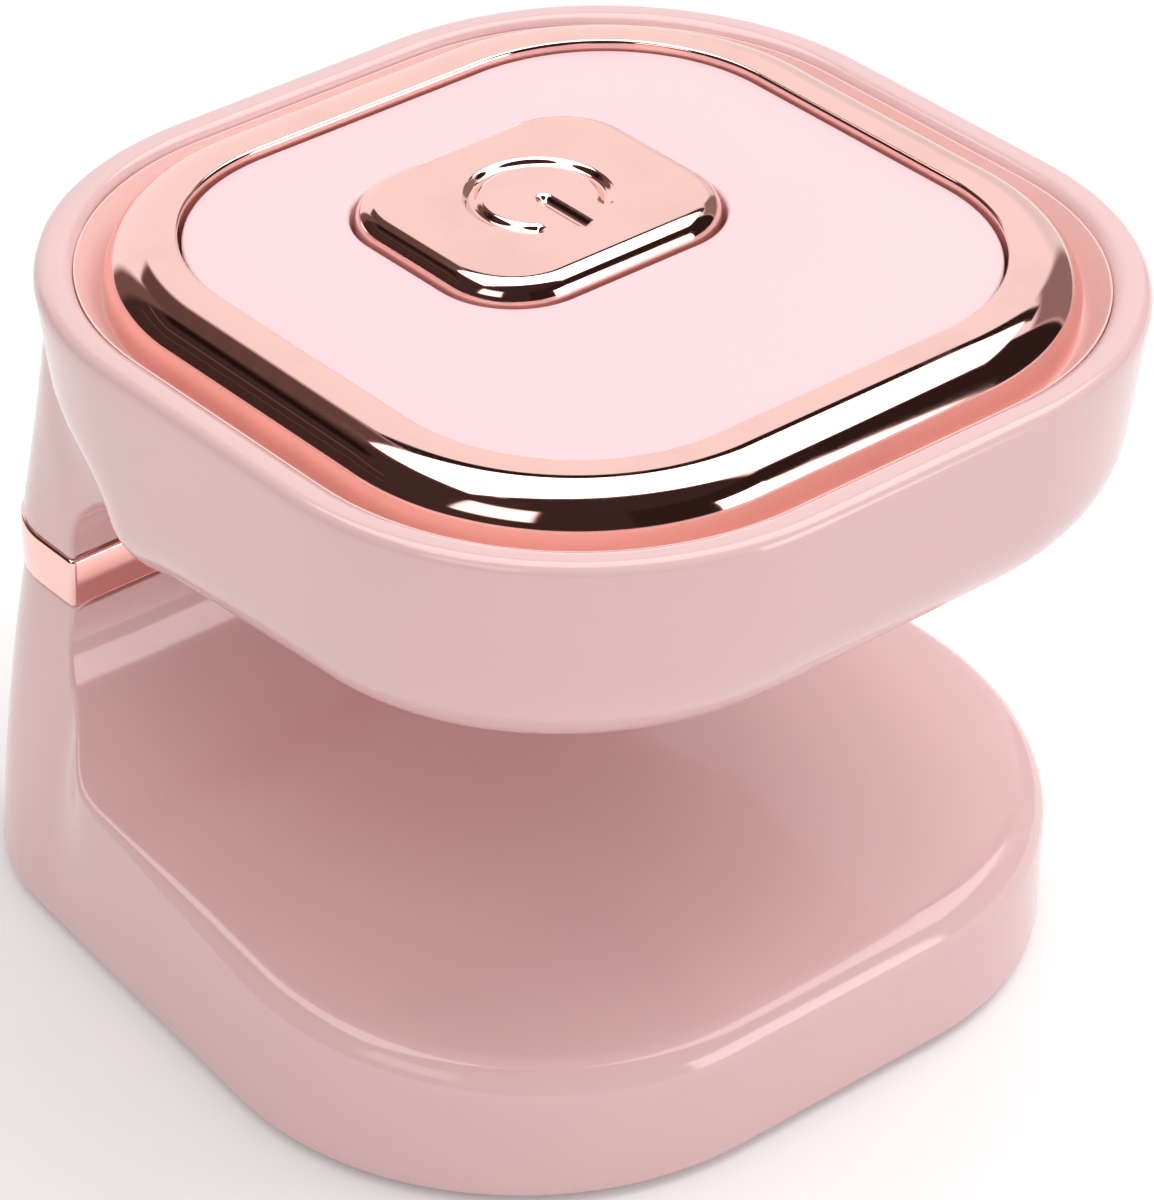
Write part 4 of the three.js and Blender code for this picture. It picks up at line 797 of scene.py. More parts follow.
class Tree:
    """The nodes of a material or a world."""

    def __init__(self, owner: bpy.types.Material | bpy.types.World) -> None:
        """Empty the owner's nodes.

        Args:
            owner: The material or the world.
        """
        owner.use_nodes = True
        self.nodes = owner.node_tree.nodes
        self.links = owner.node_tree.links
        self.nodes.clear()

    def add(
        self, kind: str, settings: dict[str, Any] | None = None, inputs: dict[Any, Any] | None = None
    ) -> bpy.types.Node:
        """Add a node.

        Args:
            kind: The node's type.
            settings: Its settings, and a ramp's stops.
            inputs: Values or links of its sockets, by name or number.

        Returns:
            The node.
        """
        node = self.nodes.new(kind)
        for key, value in (settings or {}).items():
            if key == "stops":
                elements = node.color_ramp.elements
                for place, _ in value[2:]:
                    elements.new(place)
                for element, (place, colour) in zip(elements, sorted(value)):
                    element.position = place
                    element.color = (*colour, 1)
            else:
                setattr(node, key, value)
        for key, value in (inputs or {}).items():
            if isinstance(value, Signal):
                self.links.new(value.socket, node.inputs[key])
            else:
                node.inputs[key].default_value = value
        return node

    def signal(
        self,
        kind: str,
        output: str | int = 0,
        settings: dict[str, Any] | None = None,
        inputs: dict[Any, Any] | None = None,
    ) -> Signal:
        """Add a node and take one of its outputs."""
        return Signal(self, self.add(kind, settings, inputs).outputs[output])

    def maths(self, operation: str, *values: Signal | float, clamp_result: bool = False) -> Signal:
        """Add a Math node on values."""
        settings = {"operation": operation, "use_clamp": clamp_result}
        return self.signal("ShaderNodeMath", 0, settings, dict(enumerate(values)))

    def rise(self, value: Signal, low: float, high: float) -> Signal:
        """Go smoothly from nought to one.

        Args:
            value: What varies.
            low: Where it starts.
            high: Where it ends.

        Returns:
            The share.
        """
        return self.signal(
            "ShaderNodeMapRange",
            0,
            {"interpolation_type": "SMOOTHSTEP"},
            {"Value": value, "From Min": low, "From Max": high},
        )

    def between(self, value: Signal, low: float, high: float, soft: float) -> Signal:
        """One between two values, with soft ends."""
        return self.rise(value, low - soft, low + soft) * self.under(value, high, soft)

    def under(self, value: Signal, high: float, soft: float) -> Signal:
        """One under a value, with a soft end."""
        return 1 - self.rise(value, high - soft, high + soft)

    def rays(self) -> tuple[Signal, Signal, Signal]:
        """Whether a ray comes from the camera, off a glossy surface or through a clear one."""
        kinds = ("Is Camera Ray", "Is Glossy Ray", "Is Transmission Ray")
        return tuple(self.signal("ShaderNodeLightPath", kind) for kind in kinds)

    def blend(self, factor: Signal, first: Colour, second: Colour) -> Signal:
        """Mix two colours by a factor."""
        inputs = {0: factor, 6: (*first, 1), 7: (*second, 1)}
        return self.signal("ShaderNodeMix", 2, {"data_type": "RGBA"}, inputs)

    def place(self) -> Signal:
        """Where a point lies on its object, in metres."""
        return self.signal("ShaderNodeTexCoord", "Object")

    def noise(self, size: float, detail: float = 2.0, stretch: Sequence[float] | None = None) -> Signal:
        """Soft random cloud.

        Args:
            size: The size of one cloud in millimetres.
            detail: How many finer clouds lie in it.
            stretch: Shares by which each axis is scaled first.

        Returns:
            The cloud, from nought to one.
        """
        where = self.place()
        if stretch:
            where = self.signal(
                "ShaderNodeVectorMath", 0, {"operation": "MULTIPLY"}, {0: where, 1: tuple(stretch)}
            )
        inputs = {"Vector": where, "Scale": 1 / (size * MM), "Detail": detail}
        return self.signal("ShaderNodeTexNoise", 0, None, inputs)

    def bump(self, height: Signal, depth: float) -> Signal:
        """A surface normal from a height, where one stands for a depth in millimetres."""
        inputs = {"Height": height, "Distance": depth * MM, "Strength": 1.0}
        return self.signal("ShaderNodeBump", 0, None, inputs)

    def close(self, shader: bpy.types.Node) -> None:
        """Show a shader on the surface."""
        self.add("ShaderNodeOutputMaterial")
        self.links.new(shader.outputs[0], self.nodes[-1].inputs["Surface"])


def new_material(name: str) -> tuple[bpy.types.Material, Tree]:
    """A material and its empty tree."""
    material = bpy.data.materials.new(name)
    return material, Tree(material)


@dataclass(frozen=True)
class Finish:
    """A surface finish: its material shows a principled shader with the finish's own inputs."""

    name: str
    colour: Colour

    def inputs(self, tree: Tree) -> dict[str, Any]:
        """The shader's inputs, which each finish gives in its own way."""
        raise NotImplementedError

    def material(self) -> bpy.types.Material:
        """Make the material.

        Returns:
            The material.
        """
        material, tree = new_material(self.name)
        tree.close(tree.add("ShaderNodeBsdfPrincipled", None, self.inputs(tree)))
        return material

    def shade(self, share: float) -> Colour:
        """The finish's colour times a share, at most one."""
        return tuple(min(c * share, 1.0) for c in self.colour)


@dataclass(frozen=True)
class Plastic(Finish):
    """Moulded plastic: cloudy colour, uneven gloss and a fine grain, with sizes in millimetres."""

    roughness: float
    uneven: float = 0.05
    cloud: float = 0.03
    cloud_size: float = 22.0
    grain_size: float = 0.35
    grain_depth: float = 0.0012
    wear_size: float = 4.4
    specular: float = 0.5

    def inputs(self, tree: Tree) -> dict[str, Any]:
        """The shader's inputs.

        Args:
            tree: The material's tree.

        Returns:
            The inputs by name.
        """
        cloud = tree.noise(self.cloud_size, 3.0)
        wear = tree.noise(self.wear_size, 4.0)
        grain = tree.noise(self.grain_size, 2.0)
        return {
            "Base Color": tree.blend(cloud, self.shade(1 - self.cloud), self.shade(1 + self.cloud)),
            "Roughness": self.roughness - self.uneven / 2 + wear * self.uneven,
            "Normal": tree.bump(grain, self.grain_depth),
            "Specular IOR Level": self.specular,
        }


@dataclass(frozen=True)
class Plating(Finish):
    """Plated metal: one hue, a faint ripple and smudges that dull it, with sizes in millimetres."""

    roughness: float
    smudge: float = 0.04
    smudge_size: float = 6.0
    ripple_size: float = 3.0
    ripple_depth: float = 0.0015
    smudge_start: float = 0.45
    smudge_full: float = 0.8
    worn_share: float = 0.94

    def inputs(self, tree: Tree) -> dict[str, Any]:
        """The shader's inputs.

        Args:
            tree: The material's tree.

        Returns:
            The inputs by name.
        """
        smudge = tree.rise(tree.noise(self.smudge_size, 4.0), self.smudge_start, self.smudge_full)
        ripple = tree.noise(self.ripple_size, 1.0)
        return {
            "Base Color": tree.blend(smudge, self.colour, self.shade(self.worn_share)),
            "Metallic": 1.0,
            "Roughness": self.roughness + smudge * self.smudge,
            "Normal": tree.bump(ripple, self.ripple_depth),
        }


@dataclass(frozen=True)
class Brushed(Finish):
    """Rolled or turned metal with fine lines along one way."""

    roughness: float
    line_size: float = 0.12
    line_depth: float = 0.002
    stretch: tuple[float, float, float] = (1.0, 0.06, 1.0)
    dark_share: float = 0.8
    uneven: float = 0.12

    def inputs(self, tree: Tree) -> dict[str, Any]:
        """The shader's inputs.

        Args:
            tree: The material's tree.

        Returns:
            The inputs by name.
        """
        lines = tree.noise(self.line_size, 3.0, self.stretch)
        return {
            "Base Color": tree.blend(lines, self.shade(self.dark_share), self.colour),
            "Metallic": 1.0,
            "Roughness": self.roughness + lines * self.uneven,
            "Normal": tree.bump(lines, self.line_depth),
        }


@dataclass(frozen=True)
class SolderMask(Finish):
    """A circuit board's lacquer over raised copper tracks, with sizes in millimetres."""

    track_colour: Colour
    field_size: float = 6.4
    field_offset: float = 0.37
    field_squash: float = 1.6
    track_width: float = 0.045
    track_soft: float = 0.3
    track_depth: float = 0.03
    weave_size: float = 0.25
    weave_rise: float = 0.2
    roughness: float = 0.34
    uneven: float = 0.12

    def inputs(self, tree: Tree) -> dict[str, Any]:
        """The shader's inputs.

        Args:
            tree: The material's tree.

        Returns:
            The inputs by name.
        """
        bricks = tree.signal(
            "ShaderNodeTexBrick",
            1,
            {"offset": self.field_offset, "squash": self.field_squash},
            {
                "Vector": tree.place(),
                "Scale": 1 / (self.field_size * MM),
                "Mortar Size": self.track_width,
                "Mortar Smooth": self.track_soft,
            },
        )
        weave = tree.noise(self.weave_size, 2.0)
        return {
            "Base Color": tree.blend(bricks, self.colour, self.track_colour),
            "Roughness": self.roughness + weave * self.uneven,
            "Normal": tree.bump(bricks + weave * self.weave_rise, self.track_depth),
        }


@dataclass(frozen=True)
class ClearPlastic(Finish):
    """Clear moulded plastic with a faint haze, with sizes in millimetres."""

    roughness: float = 0.06
    uneven: float = 0.08
    haze_size: float = 4.0
    pale_share: float = 1.03
    passing: float = 0.85
    bend: float = 1.49
    ripple_size: float = 1.2
    ripple_depth: float = 0.002

    def inputs(self, tree: Tree) -> dict[str, Any]:
        """The shader's inputs.

        Args:
            tree: The material's tree.

        Returns:
            The inputs by name.
        """
        haze = tree.noise(self.haze_size, 3.0)
        return {
            "Base Color": tree.blend(haze, self.colour, self.shade(self.pale_share)),
            "Roughness": self.roughness + haze * self.uneven,
            "Transmission Weight": self.passing,
            "IOR": self.bend,
            "Normal": tree.bump(tree.noise(self.ripple_size, 2.0), self.ripple_depth),
        }


PINK_PLASTIC = Plastic("pink_gloss_plastic", paint(240, 201, 200), 0.1, grain_depth=0.0006)
PANEL_PLASTIC = Plastic("panel_satin_plastic", paint(250, 219, 223), 0.34, cloud=0.015)
# Paler than the shell's pink: painted light, lifted to offset the shade in the recess where the carrier frame
# lies; the base cover shares the same lifted colour.
PINK_PLASTIC_WITH_PAINTED_LIGHT = Plastic("pink_matte_plastic", paint(255, 214, 209), 0.35, grain_depth=0.002)
ROSE_GOLD = Plating("rose_gold_plating", (0.98, 0.62, 0.56), 0.05)
FOOT_RUBBER = Plastic("foot_rubber", paint(92, 84, 85), 0.85, grain_size=0.2, grain_depth=0.02)
BLACK_PLASTIC = Plastic("black_moulded_plastic", paint(36, 37, 40), 0.42, grain_size=0.25, grain_depth=0.006)
WHITE_PLASTIC = Plastic("white_moulded_plastic", paint(240, 240, 236), 0.4)
DIODE_PLASTIC = Plastic("diode_package", paint(230, 222, 240), 0.25)
BLACK_PVC = Plastic("black_wire_jacket", paint(30, 30, 33), 0.5, grain_size=0.4, grain_depth=0.01)
RED_PVC = Plastic("red_wire_jacket", paint(182, 44, 42), 0.45, grain_size=0.4, grain_depth=0.01)
SCREW_STEEL = Brushed("screw_steel", paint(196, 198, 202), 0.28)
SOCKET_STEEL = Brushed("socket_steel", paint(206, 208, 212), 0.24, stretch=(0.06, 1.0, 1.0))
REFLECTOR_CHROME = Plating("reflector_chrome", paint(224, 228, 232), 0.08)
GREEN_MASK = SolderMask("green_solder_mask", paint(34, 92, 58), paint(58, 128, 84))
WHITE_MASK = SolderMask("white_solder_mask", paint(238, 238, 232), paint(214, 212, 200))
CLEAR_WINDOW = ClearPlastic("clear_window_plastic", paint(244, 240, 250))


class Rider(Enum):
    """The bodies that pieces ride on."""

    HOUSING = "housing"
    BUTTON = "button"
    SWITCH = "switch"


class Paints:
    """The materials, each made once."""

    def __init__(self) -> None:
        """Start with none."""
        self.made: dict[str, bpy.types.Material] = {}

    def of(self, finish: Finish) -> bpy.types.Material:
        """The material of a finish.

        Args:
            finish: The finish.

        Returns:
            Its material, made the first time that it is asked for.
        """
        if finish.name not in self.made:
            self.made[finish.name] = finish.material()
        return self.made[finish.name]


def seat(piece: bpy.types.Object, paint_of: bpy.types.Material, body: Rider, node: str, slot: str) -> None:
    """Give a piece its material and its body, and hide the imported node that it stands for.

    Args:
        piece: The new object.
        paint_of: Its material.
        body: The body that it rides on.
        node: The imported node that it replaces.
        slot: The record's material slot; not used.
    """
    piece.data.materials.clear()
    piece.data.materials.append(paint_of)
    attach(piece, body.value)
    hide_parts(node)
    LOG.info("%s stands for %s, %d faces", piece.name, node, len(piece.data.polygons))


@dataclass(frozen=True)
class Layout:
    """Sizes and places that several pieces share, in millimetres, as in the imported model."""

    head_width: float = 81.5
    head_corner: float = 28.9
    head_height: float = 19.9
    head_slope: float = 0.06
    head_taper: float = 2.3
    head_wall: float = 3.3
    bay_wall: float = 2.0
    overall_depth: float = 91.6
    base_setback: float = 7.7
    base_front_width: float = 85.0
    base_back_width: float = 69.2
    base_front_corner: float = 28.6
    base_back_corner: float = 20.5
    column_width: float = 61.6
    column_spread: float = 1.3
    column_depth: float = 12.9
    column_setback: float = 6.5
    column_corner: float = 8.3
    column_edge: float = 0.4
    neck_height: float = 29.4
    lean_bow: float = 0.5
    foot_proud: float = 0.8
    band_height: float = 4.7
    head_stack: float = 32.1
    panel_proud: float = 1.55
    panel_width: float = 57.0
    panel_corner: float = 16.65
    panel_thickness: float = 2.2
    recess_depth: float = 3.1
    carrier_thickness: float = 2.0
    ring_gap: float = 0.3
    ring_width: float = 6.2
    hole_width: float = 28.0
    hole_depth: float = 24.2
    hole_corner: float = 7.4
    button_offset: float = 6.7
    button_proud: float = 1.67
    neck_round: float = 0.35
    long_screw_spacing: float = 40.0
    long_screw_hole: float = 1.55
    long_screw_block: float = 10.0
    small_screw_hole: float = 0.95
    small_screw_length: float = 3.4

    def __post_init__(self) -> None:
        """Work out the levels, places and plans."""
        y_front = -self.overall_depth / 2
        y_head = y_front + self.head_width / 2
        y_base = y_front + self.base_setback
        y_back = self.overall_depth / 2
        y_column_back = y_back - self.column_setback
        z_band = self.foot_proud + self.neck_height
        z_rim = z_band + self.band_height + self.head_stack
        z_panel = z_rim + self.panel_proud
        worked_out = {
            "y_front": y_front,
            "y_head": y_head,
            "y_base": y_base,
            "y_back": y_back,
            "y_hub": y_head + self.head_width / 2 - self.head_corner,
            "y_column_back": y_column_back,
            "y_inner": y_column_back - self.column_depth,
            "y_column": y_column_back - self.column_depth / 2,
            "y_button": y_head + self.button_offset,
            "z_base": self.foot_proud,
            "z_band": z_band,
            "z_band_top": z_band + self.band_height,
            "z_rim": z_rim,
            "z_panel": z_panel,
            "z_panel_seat": z_panel - self.panel_thickness,
            "z_carrier_top": z_rim - self.recess_depth,
            "z_carrier": z_rim - self.recess_depth - self.carrier_thickness,
            "z_pocket": z_panel - self.panel_thickness - self.carrier_thickness,
            "z_button_top": z_panel + self.button_proud,
            "head_plan": Plan.square(self.head_width, self.head_corner, y_head),
            "panel_plan": Plan.square(self.panel_width, self.panel_corner, y_head),
            "hole_plan": Plan.square(
                self.hole_width, self.hole_corner, y_head + self.button_offset, self.hole_depth
            ),
            "base_plan": Plan(
                self.base_front_width / 2,
                self.base_back_width / 2,
                y_base,
                y_back,
                self.base_front_corner,
                self.base_back_corner,
            ),
            "column_plan": Plan(
                self.column_width / 2 + self.column_spread,
                self.column_width / 2,
                y_base,
                y_column_back,
                self.base_front_corner,
                self.column_corner,
            ),
        }
        for name, value in worked_out.items():
            object.__setattr__(self, name, value)

    def long_screws(self) -> list[tuple[float, float]]:
        """Where the two long screws stand."""
        return [(side * self.long_screw_spacing / 2, self.y_column) for side in (-1, 1)]

    def carrier_bosses(self) -> list[tuple[float, float]]:
        """Where the carrier's four screws stand, under the middle of the ring.

        Returns:
            Their x and y.
        """
        reach = self.panel_corner + self.ring_gap + self.ring_width / 2
        out = self.panel_width / 2 - self.panel_corner + reach * ROOT_HALF
        return [(x * out, self.y_head + y * out) for y in (-1, 1) for x in (-1, 1)]

    def lean(self, height: Any) -> Any:
        """How far the wall behind has gone from the base's plan to the column's."""
        share = clamp(height / self.neck_height)
        return share * lerp(1 - self.lean_bow, 1, share)


@dataclass
class BaseShell:
    """The tray that stands on the table, with the lower part of the column."""

    layout: Layout
    height: float = 12.1
    slope: float = 0.082
    wall: float = 2.2
    lower_round: float = 0.8
    upper_round: float = 2.9
    fillet: float = 12.5
    fade: float = 38.4
    blend_length: float = 9.4
    screw_places: tuple[tuple[float, float], ...] = ((30.0, -8.1), (25.0, 20.0))
    boss_radius: float = 3.0
    pilot_radius: float = 1.25
    pilot_top: float = 7.4
    cover_top: float = 2.9
    screw_grip: float = 6.0
    rib_width: float = 2.0
    rib_length: float = 5.0
    rib_low: float = 5.6
    rib_out: float = 8.0
    inlet_width: float = 9.5
    inlet_height: float = 3.8
    inlet_level: float = 7.2
    inlet_start: float = 37.0

    def form(self, wall: float, overrun: float) -> Moulding:
        """The tray's outer form, or its hollow.

        Args:
            wall: The wall's thickness, nought for the outer form.
            overrun: How far a cutter reaches past the open ends.

        Returns:
            The moulding.
        """
        at = self.layout
        column = at.column_plan.inset(wall, at.column_edge)
        thin = at.bay_wall if wall else 0.0

        def plan_at(height: Any) -> Plan:
            """The base's plan at a height."""
            drawn = wall if wall else quarter_inset(height, self.lower_round)
            return at.base_plan.inset(drawn, at.column_edge)

        def reach_at(height: Any, angle: Any) -> Any:
            """The outer wall's distance from the hub.

            Args:
                height: Heights over the open end.
                angle: Directions from the hub.

            Returns:
                The distances.
            """
            base = plan_at(height).reach(at.y_hub, angle)
            y = at.y_hub + base * np.sin(angle)
            behind = smoothstep(y, at.y_inner - self.blend_length, at.y_inner)
            return lerp(base, column.reach(at.y_hub, angle), at.lean(height) * behind)

        return Moulding(
            reach_at=reach_at,
            level=lambda height: at.z_base + height,
            flat_at=lambda y: self.height + self.slope * (y - at.y_base) - thin * math.hypot(1, self.slope),
            slope=self.slope,
            hub=at.y_hub,
            y_column=at.y_column,
            inner_face=at.y_inner + thin,
            fillet=self.fillet + thin,
            edge=max(self.upper_round - wall, at.column_edge),
            least_edge=at.column_edge,
            fade=self.fade,
            front_plan=plan_at(self.height),
            open_levels=np.array([-overrun, 0.0]) if wall else round_levels(self.lower_round, EDGE_ROWS),
            neck_height=at.neck_height + overrun,
            neck_round=0.0 if wall else at.neck_round,
            flipped=False,
        )

    def build(self) -> bpy.types.Object:
        """Make the shell, hollow, with its bosses, holes and inlet.

        Returns:
            The shell.
        """
        at = self.layout
        hollow = self.form(self.wall, OVERRUN).build("base_hollow")
        places = [(side * x, y) for x, y in self.screw_places for side in (-1, 1)]
        keep = [post(self.boss_radius, self.cover_top, at.z_band, place) for place in places]
        blocks = (at.long_screw_block, at.column_depth, self.screw_grip + 2 * OVERRUN)
        keep += [block(place, at.z_band - self.screw_grip, blocks) for place in at.long_screws()]
        ribs = (self.rib_width, self.rib_length, at.z_band - self.rib_low)
        y_rib = at.y_inner + self.rib_length / 2
        keep += [block((side * self.rib_out, y_rib), self.rib_low, ribs) for side in (-1, 1)]
        carve(hollow, keep, Joint.CUT)
        shell = self.form(0.0, 0.0).build("base_shell_moulding")
        carve(shell, [hollow], Joint.CUT)
        holes = [post(self.pilot_radius, at.z_base, self.pilot_top, place) for place in places]
        low = at.z_band - self.screw_grip - OVERRUN
        holes += [post(at.long_screw_hole, low, at.z_band + OVERRUN, place) for place in at.long_screws()]
        holes.append(self.inlet())
        carve(shell, holes, Joint.CUT)
        smooth(shell)
        return shell

    def inlet(self) -> bpy.types.Object:
        """The flat-oval cutter of the power inlet's mouth.

        Returns:
            The cutter.
        """
        at = self.layout
        plan = Plan.square(self.inlet_width, self.inlet_height / 2 - WELD_GAP, 0.0, self.inlet_height)
        tool = loft("inlet", [(plan, -at.y_back), (plan, -self.inlet_start)], OPENING_STEPS)
        lift = Matrix.Translation((0, 0, self.inlet_level * MM))
        tool.data.transform(lift @ Matrix.Rotation(QUARTER, 4, "X"))
        return tool


@dataclass
class HeadShell:
    """The tray over the finger bay, with the stub of column that stands on the trim band."""

    layout: Layout
    lower_round: float = 8.7
    fillet: float = 7.4
    fade: float = 24.0
    rim_round: float = 1.3
    inner_rim_round: float = 1.2
    blend_start: float = 9.2
    blend_end: float = 23.7
    blend_margin: float = 2.0
    window_width: float = 28.0
    window_depth: float = 27.0
    window_corner: float = 5.0
    window_shift: float = 3.0
    window_flange: float = 1.8
    pad_rise: float = 0.3
    boss_radius: float = 3.0
    post_radius: float = 2.5
    board_lift: float = 7.6
    board_half: tuple[float, float] = (23.0, 11.0)
    board_shift: float = 1.0
    lamp_boss_radius: float = 1.9
    lamp_boss_out: float = 17.9
    lamp_seat_lift: float = 3.8
    screw_bite: float = 7.0

    def form(self, wall: float, overrun: float) -> Moulding:
        """The tray's outer form, or its hollow, which flares into the rim's inner round.

        Args:
            wall: The wall's thickness, nought for the outer form.
            overrun: How far a cutter reaches past the open ends.

        Returns:
            The moulding.
        """
        at = self.layout
        column = at.column_plan.inset(wall, at.column_edge)
        thin = at.bay_wall if wall else 0.0

        def rim_at(height: Any) -> Plan:
            """The head's plan below its rim, before it tapers.

            Args:
                height: Heights below the rim.

            Returns:
                The plan.
            """
            if wall:
                return at.head_plan.inset(wall - quarter_inset(height, self.inner_rim_round), at.column_edge)
            return at.head_plan.inset(quarter_inset(height, self.rim_round), at.column_edge)

        def plan_at(height: Any) -> Plan:
            """The head's plan below its rim, tapered."""
            return rim_at(height).inset(at.head_taper * clamp(height / at.head_height), at.column_edge)

        def reach_at(height: Any, angle: Any) -> Any:
            """The outer wall's distance from the hub.

            Args:
                height: Heights below the rim.
                angle: Directions from the hub.

            Returns:
                The distances.
            """
            rim = rim_at(height).reach(at.y_hub, angle)
            side = plan_at(height).reach(at.y_hub, angle)
            goal = column.reach(at.y_hub, angle)
            y = at.y_hub + side * np.sin(angle)
            behind = smoothstep(y, at.y_hub, at.y_inner - at.column_corner / 2)
            lower = smoothstep(height, self.blend_start, self.blend_end)
            narrowing = lerp(side, goal, lower * behind)
            leaning = lerp(rim, goal, clamp(height / at.head_stack))
            back = smoothstep(goal - rim, -self.blend_margin, self.blend_margin)
            return lerp(narrowing, leaning, back * behind)

        inner = round_levels(self.inner_rim_round, EDGE_ROWS, overrun) if wall else None
        sunk = thin * math.hypot(1, at.head_slope)
        return Moulding(
            reach_at=reach_at,
            level=lambda height: at.z_rim - height,
            flat_at=lambda y: at.head_height + at.head_slope * (y - at.y_front) - sunk,
            slope=at.head_slope,
            hub=at.y_hub,
            y_column=at.y_column,
            inner_face=at.y_inner + thin,
            fillet=self.fillet + thin,
            edge=max(self.lower_round - wall, at.column_edge),
            least_edge=at.column_edge,
            fade=self.fade,
            front_plan=plan_at(at.head_height),
            open_levels=inner if wall else round_levels(self.rim_round, EDGE_ROWS),
            neck_height=at.head_stack + overrun,
            neck_round=0.0 if wall else at.neck_round,
            flipped=True,
        )

    def build(self) -> bpy.types.Object:
        """Make the shell, hollow, with its bosses, the lamp window's opening and its screw holes.

        Returns:
            The shell.
        """
        at = self.layout
        low = at.z_band_top
        y_window = at.y_head - self.window_shift
        window = Plan.square(self.window_width, self.window_corner, y_window, self.window_depth)
        y_pad = y_window - self.window_depth / 2 - self.window_flange
        drop = at.head_height + at.head_slope * (y_pad - at.y_front)
        z_floor = at.z_rim - drop + at.bay_wall + self.pad_rise
        z_lamp, z_board = z_floor + self.lamp_seat_lift, z_floor + self.board_lift
        half_x, half_y = self.board_half
        y_board = at.y_button - self.board_shift
        posts = [(x * half_x, y_board + y * half_y) for x in (-1, 1) for y in (-1, 1)]
        lamps = [(side * self.lamp_boss_out, y_window) for side in (-1, 1)]
        pad = window.inset(-self.window_flange)
        keep = [loft("pad", [(pad, low), (pad, z_floor)], OPENING_STEPS)]
        keep += [post(self.boss_radius, low, at.z_carrier, place) for place in at.carrier_bosses()]
        keep += [post(self.post_radius, low, z_board, place) for place in posts]
        keep += [post(self.lamp_boss_radius, low, z_lamp, place) for place in lamps]
        size = (at.long_screw_block, at.column_depth, self.screw_bite + 3 * OVERRUN)
        keep += [block(place, low - 2 * OVERRUN, size) for place in at.long_screws()]
        hollow = self.form(at.head_wall, OVERRUN).build("head_hollow")
        carve(hollow, keep, Joint.CUT)
        shell = self.form(0.0, 0.0).build("head_shell_moulding")
        carve(shell, [hollow], Joint.CUT)
        deep = at.small_screw_length + FIT_GAP
        seats = [(place, at.z_carrier) for place in at.carrier_bosses()]
        seats += [(place, z_board) for place in posts] + [(place, z_lamp) for place in lamps]
        holes = [post(at.small_screw_hole, top - deep, top + OVERRUN, place) for place, top in seats]
        holes += [
            post(at.long_screw_hole, low - OVERRUN, low + self.screw_bite - OVERRUN, place)
            for place in at.long_screws()
        ]
        holes.append(loft("opening", [(window, low), (window, z_floor + OVERRUN)], WINDOW_STEPS))
        carve(shell, holes, Joint.CUT)
        smooth(shell)
        return shell


@dataclass
class WaistBand:
    """The plated collar between the two mouldings."""

    layout: Layout
    proud: float = 0.2
    wall: float = 1.6
    bevel: float = 0.3
    bevel_steps: int = 4
    steps: int = 20

    def build(self) -> bpy.types.Object:
        """Make the collar.

        Returns:
            The collar.
        """
        at = self.layout
        plan = at.column_plan
        _, _, _, _, normal_x, normal_y = plan.corners()
        side = plan.front_half + (at.y_base - at.y_inner) * normal_y / normal_x
        collar = Plan(side, plan.back_half, at.y_inner, at.y_column_back, at.column_edge, at.column_corner)
        section = [(-self.wall, at.z_band), (self.proud - self.bevel, at.z_band)]
        for i in range(1, self.bevel_steps + 1):
            turn = QUARTER * i / self.bevel_steps
            out = self.proud - self.bevel * (1 - math.sin(turn))
            section.append((out, at.z_band + self.bevel * (1 - math.cos(turn))))
        for i in range(self.bevel_steps + 1):
            turn = QUARTER * i / self.bevel_steps
            out = self.proud - self.bevel * (1 - math.cos(turn))
            section.append((out, at.z_band_top - self.bevel * (1 - math.sin(turn))))
        section.append((-self.wall, at.z_band_top))
        band = plan_ring("waist_band_collar", collar, section, self.steps)
        smooth(band, HARD_EDGE_DEGREES)
        return band


@dataclass
class BezelRing:
    """The rolled ring round the panel: a nearly flat lip, a crest and a steep outer roll."""

    layout: Layout
    crest: float = 0.75
    lip_width: float = 1.8
    lip_round: float = 0.35
    roll_height: float = 4.0
    roll_steps: int = 36
    lip_steps: int = 5
    steps: int = 64

    def build(self) -> bpy.types.Object:
        """Make the ring.

        Returns:
            The ring.
        """
        at = self.layout
        top = at.z_panel + self.crest
        wide = at.ring_width - self.lip_width
        section = [(0.0, at.z_carrier_top), (at.ring_width, at.z_carrier_top)]
        for turn in np.linspace(0, QUARTER, self.roll_steps + 1):
            fall = self.roll_height * (1 - math.sin(turn))
            section.append((self.lip_width + wide * math.cos(turn), top - fall))
        for turn in np.linspace(0, QUARTER, self.lip_steps + 1):
            out = self.lip_round * (1 - math.sin(turn))
            section.append((out, top - self.lip_round * (1 - math.cos(turn))))
        ring = plan_ring("bezel_ring_roll", at.panel_plan.inset(-at.ring_gap), section, self.steps)
        smooth(ring, HARD_EDGE_DEGREES)
        return ring


def stack(name: str, rows: Sequence[Array]) -> bpy.types.Object:
    """A ring-shaped body from closed rows of equal count.

    Args:
        name: The object's name.
        rows: Rows of points, each the next one's neighbour and the last the first one's.

    Returns:
        The object.
    """
    body = Body()
    for row, after in zip(rows, [*rows[1:], rows[0]]):
        body.strip(row, after, closed=True)
    return body.build(name)


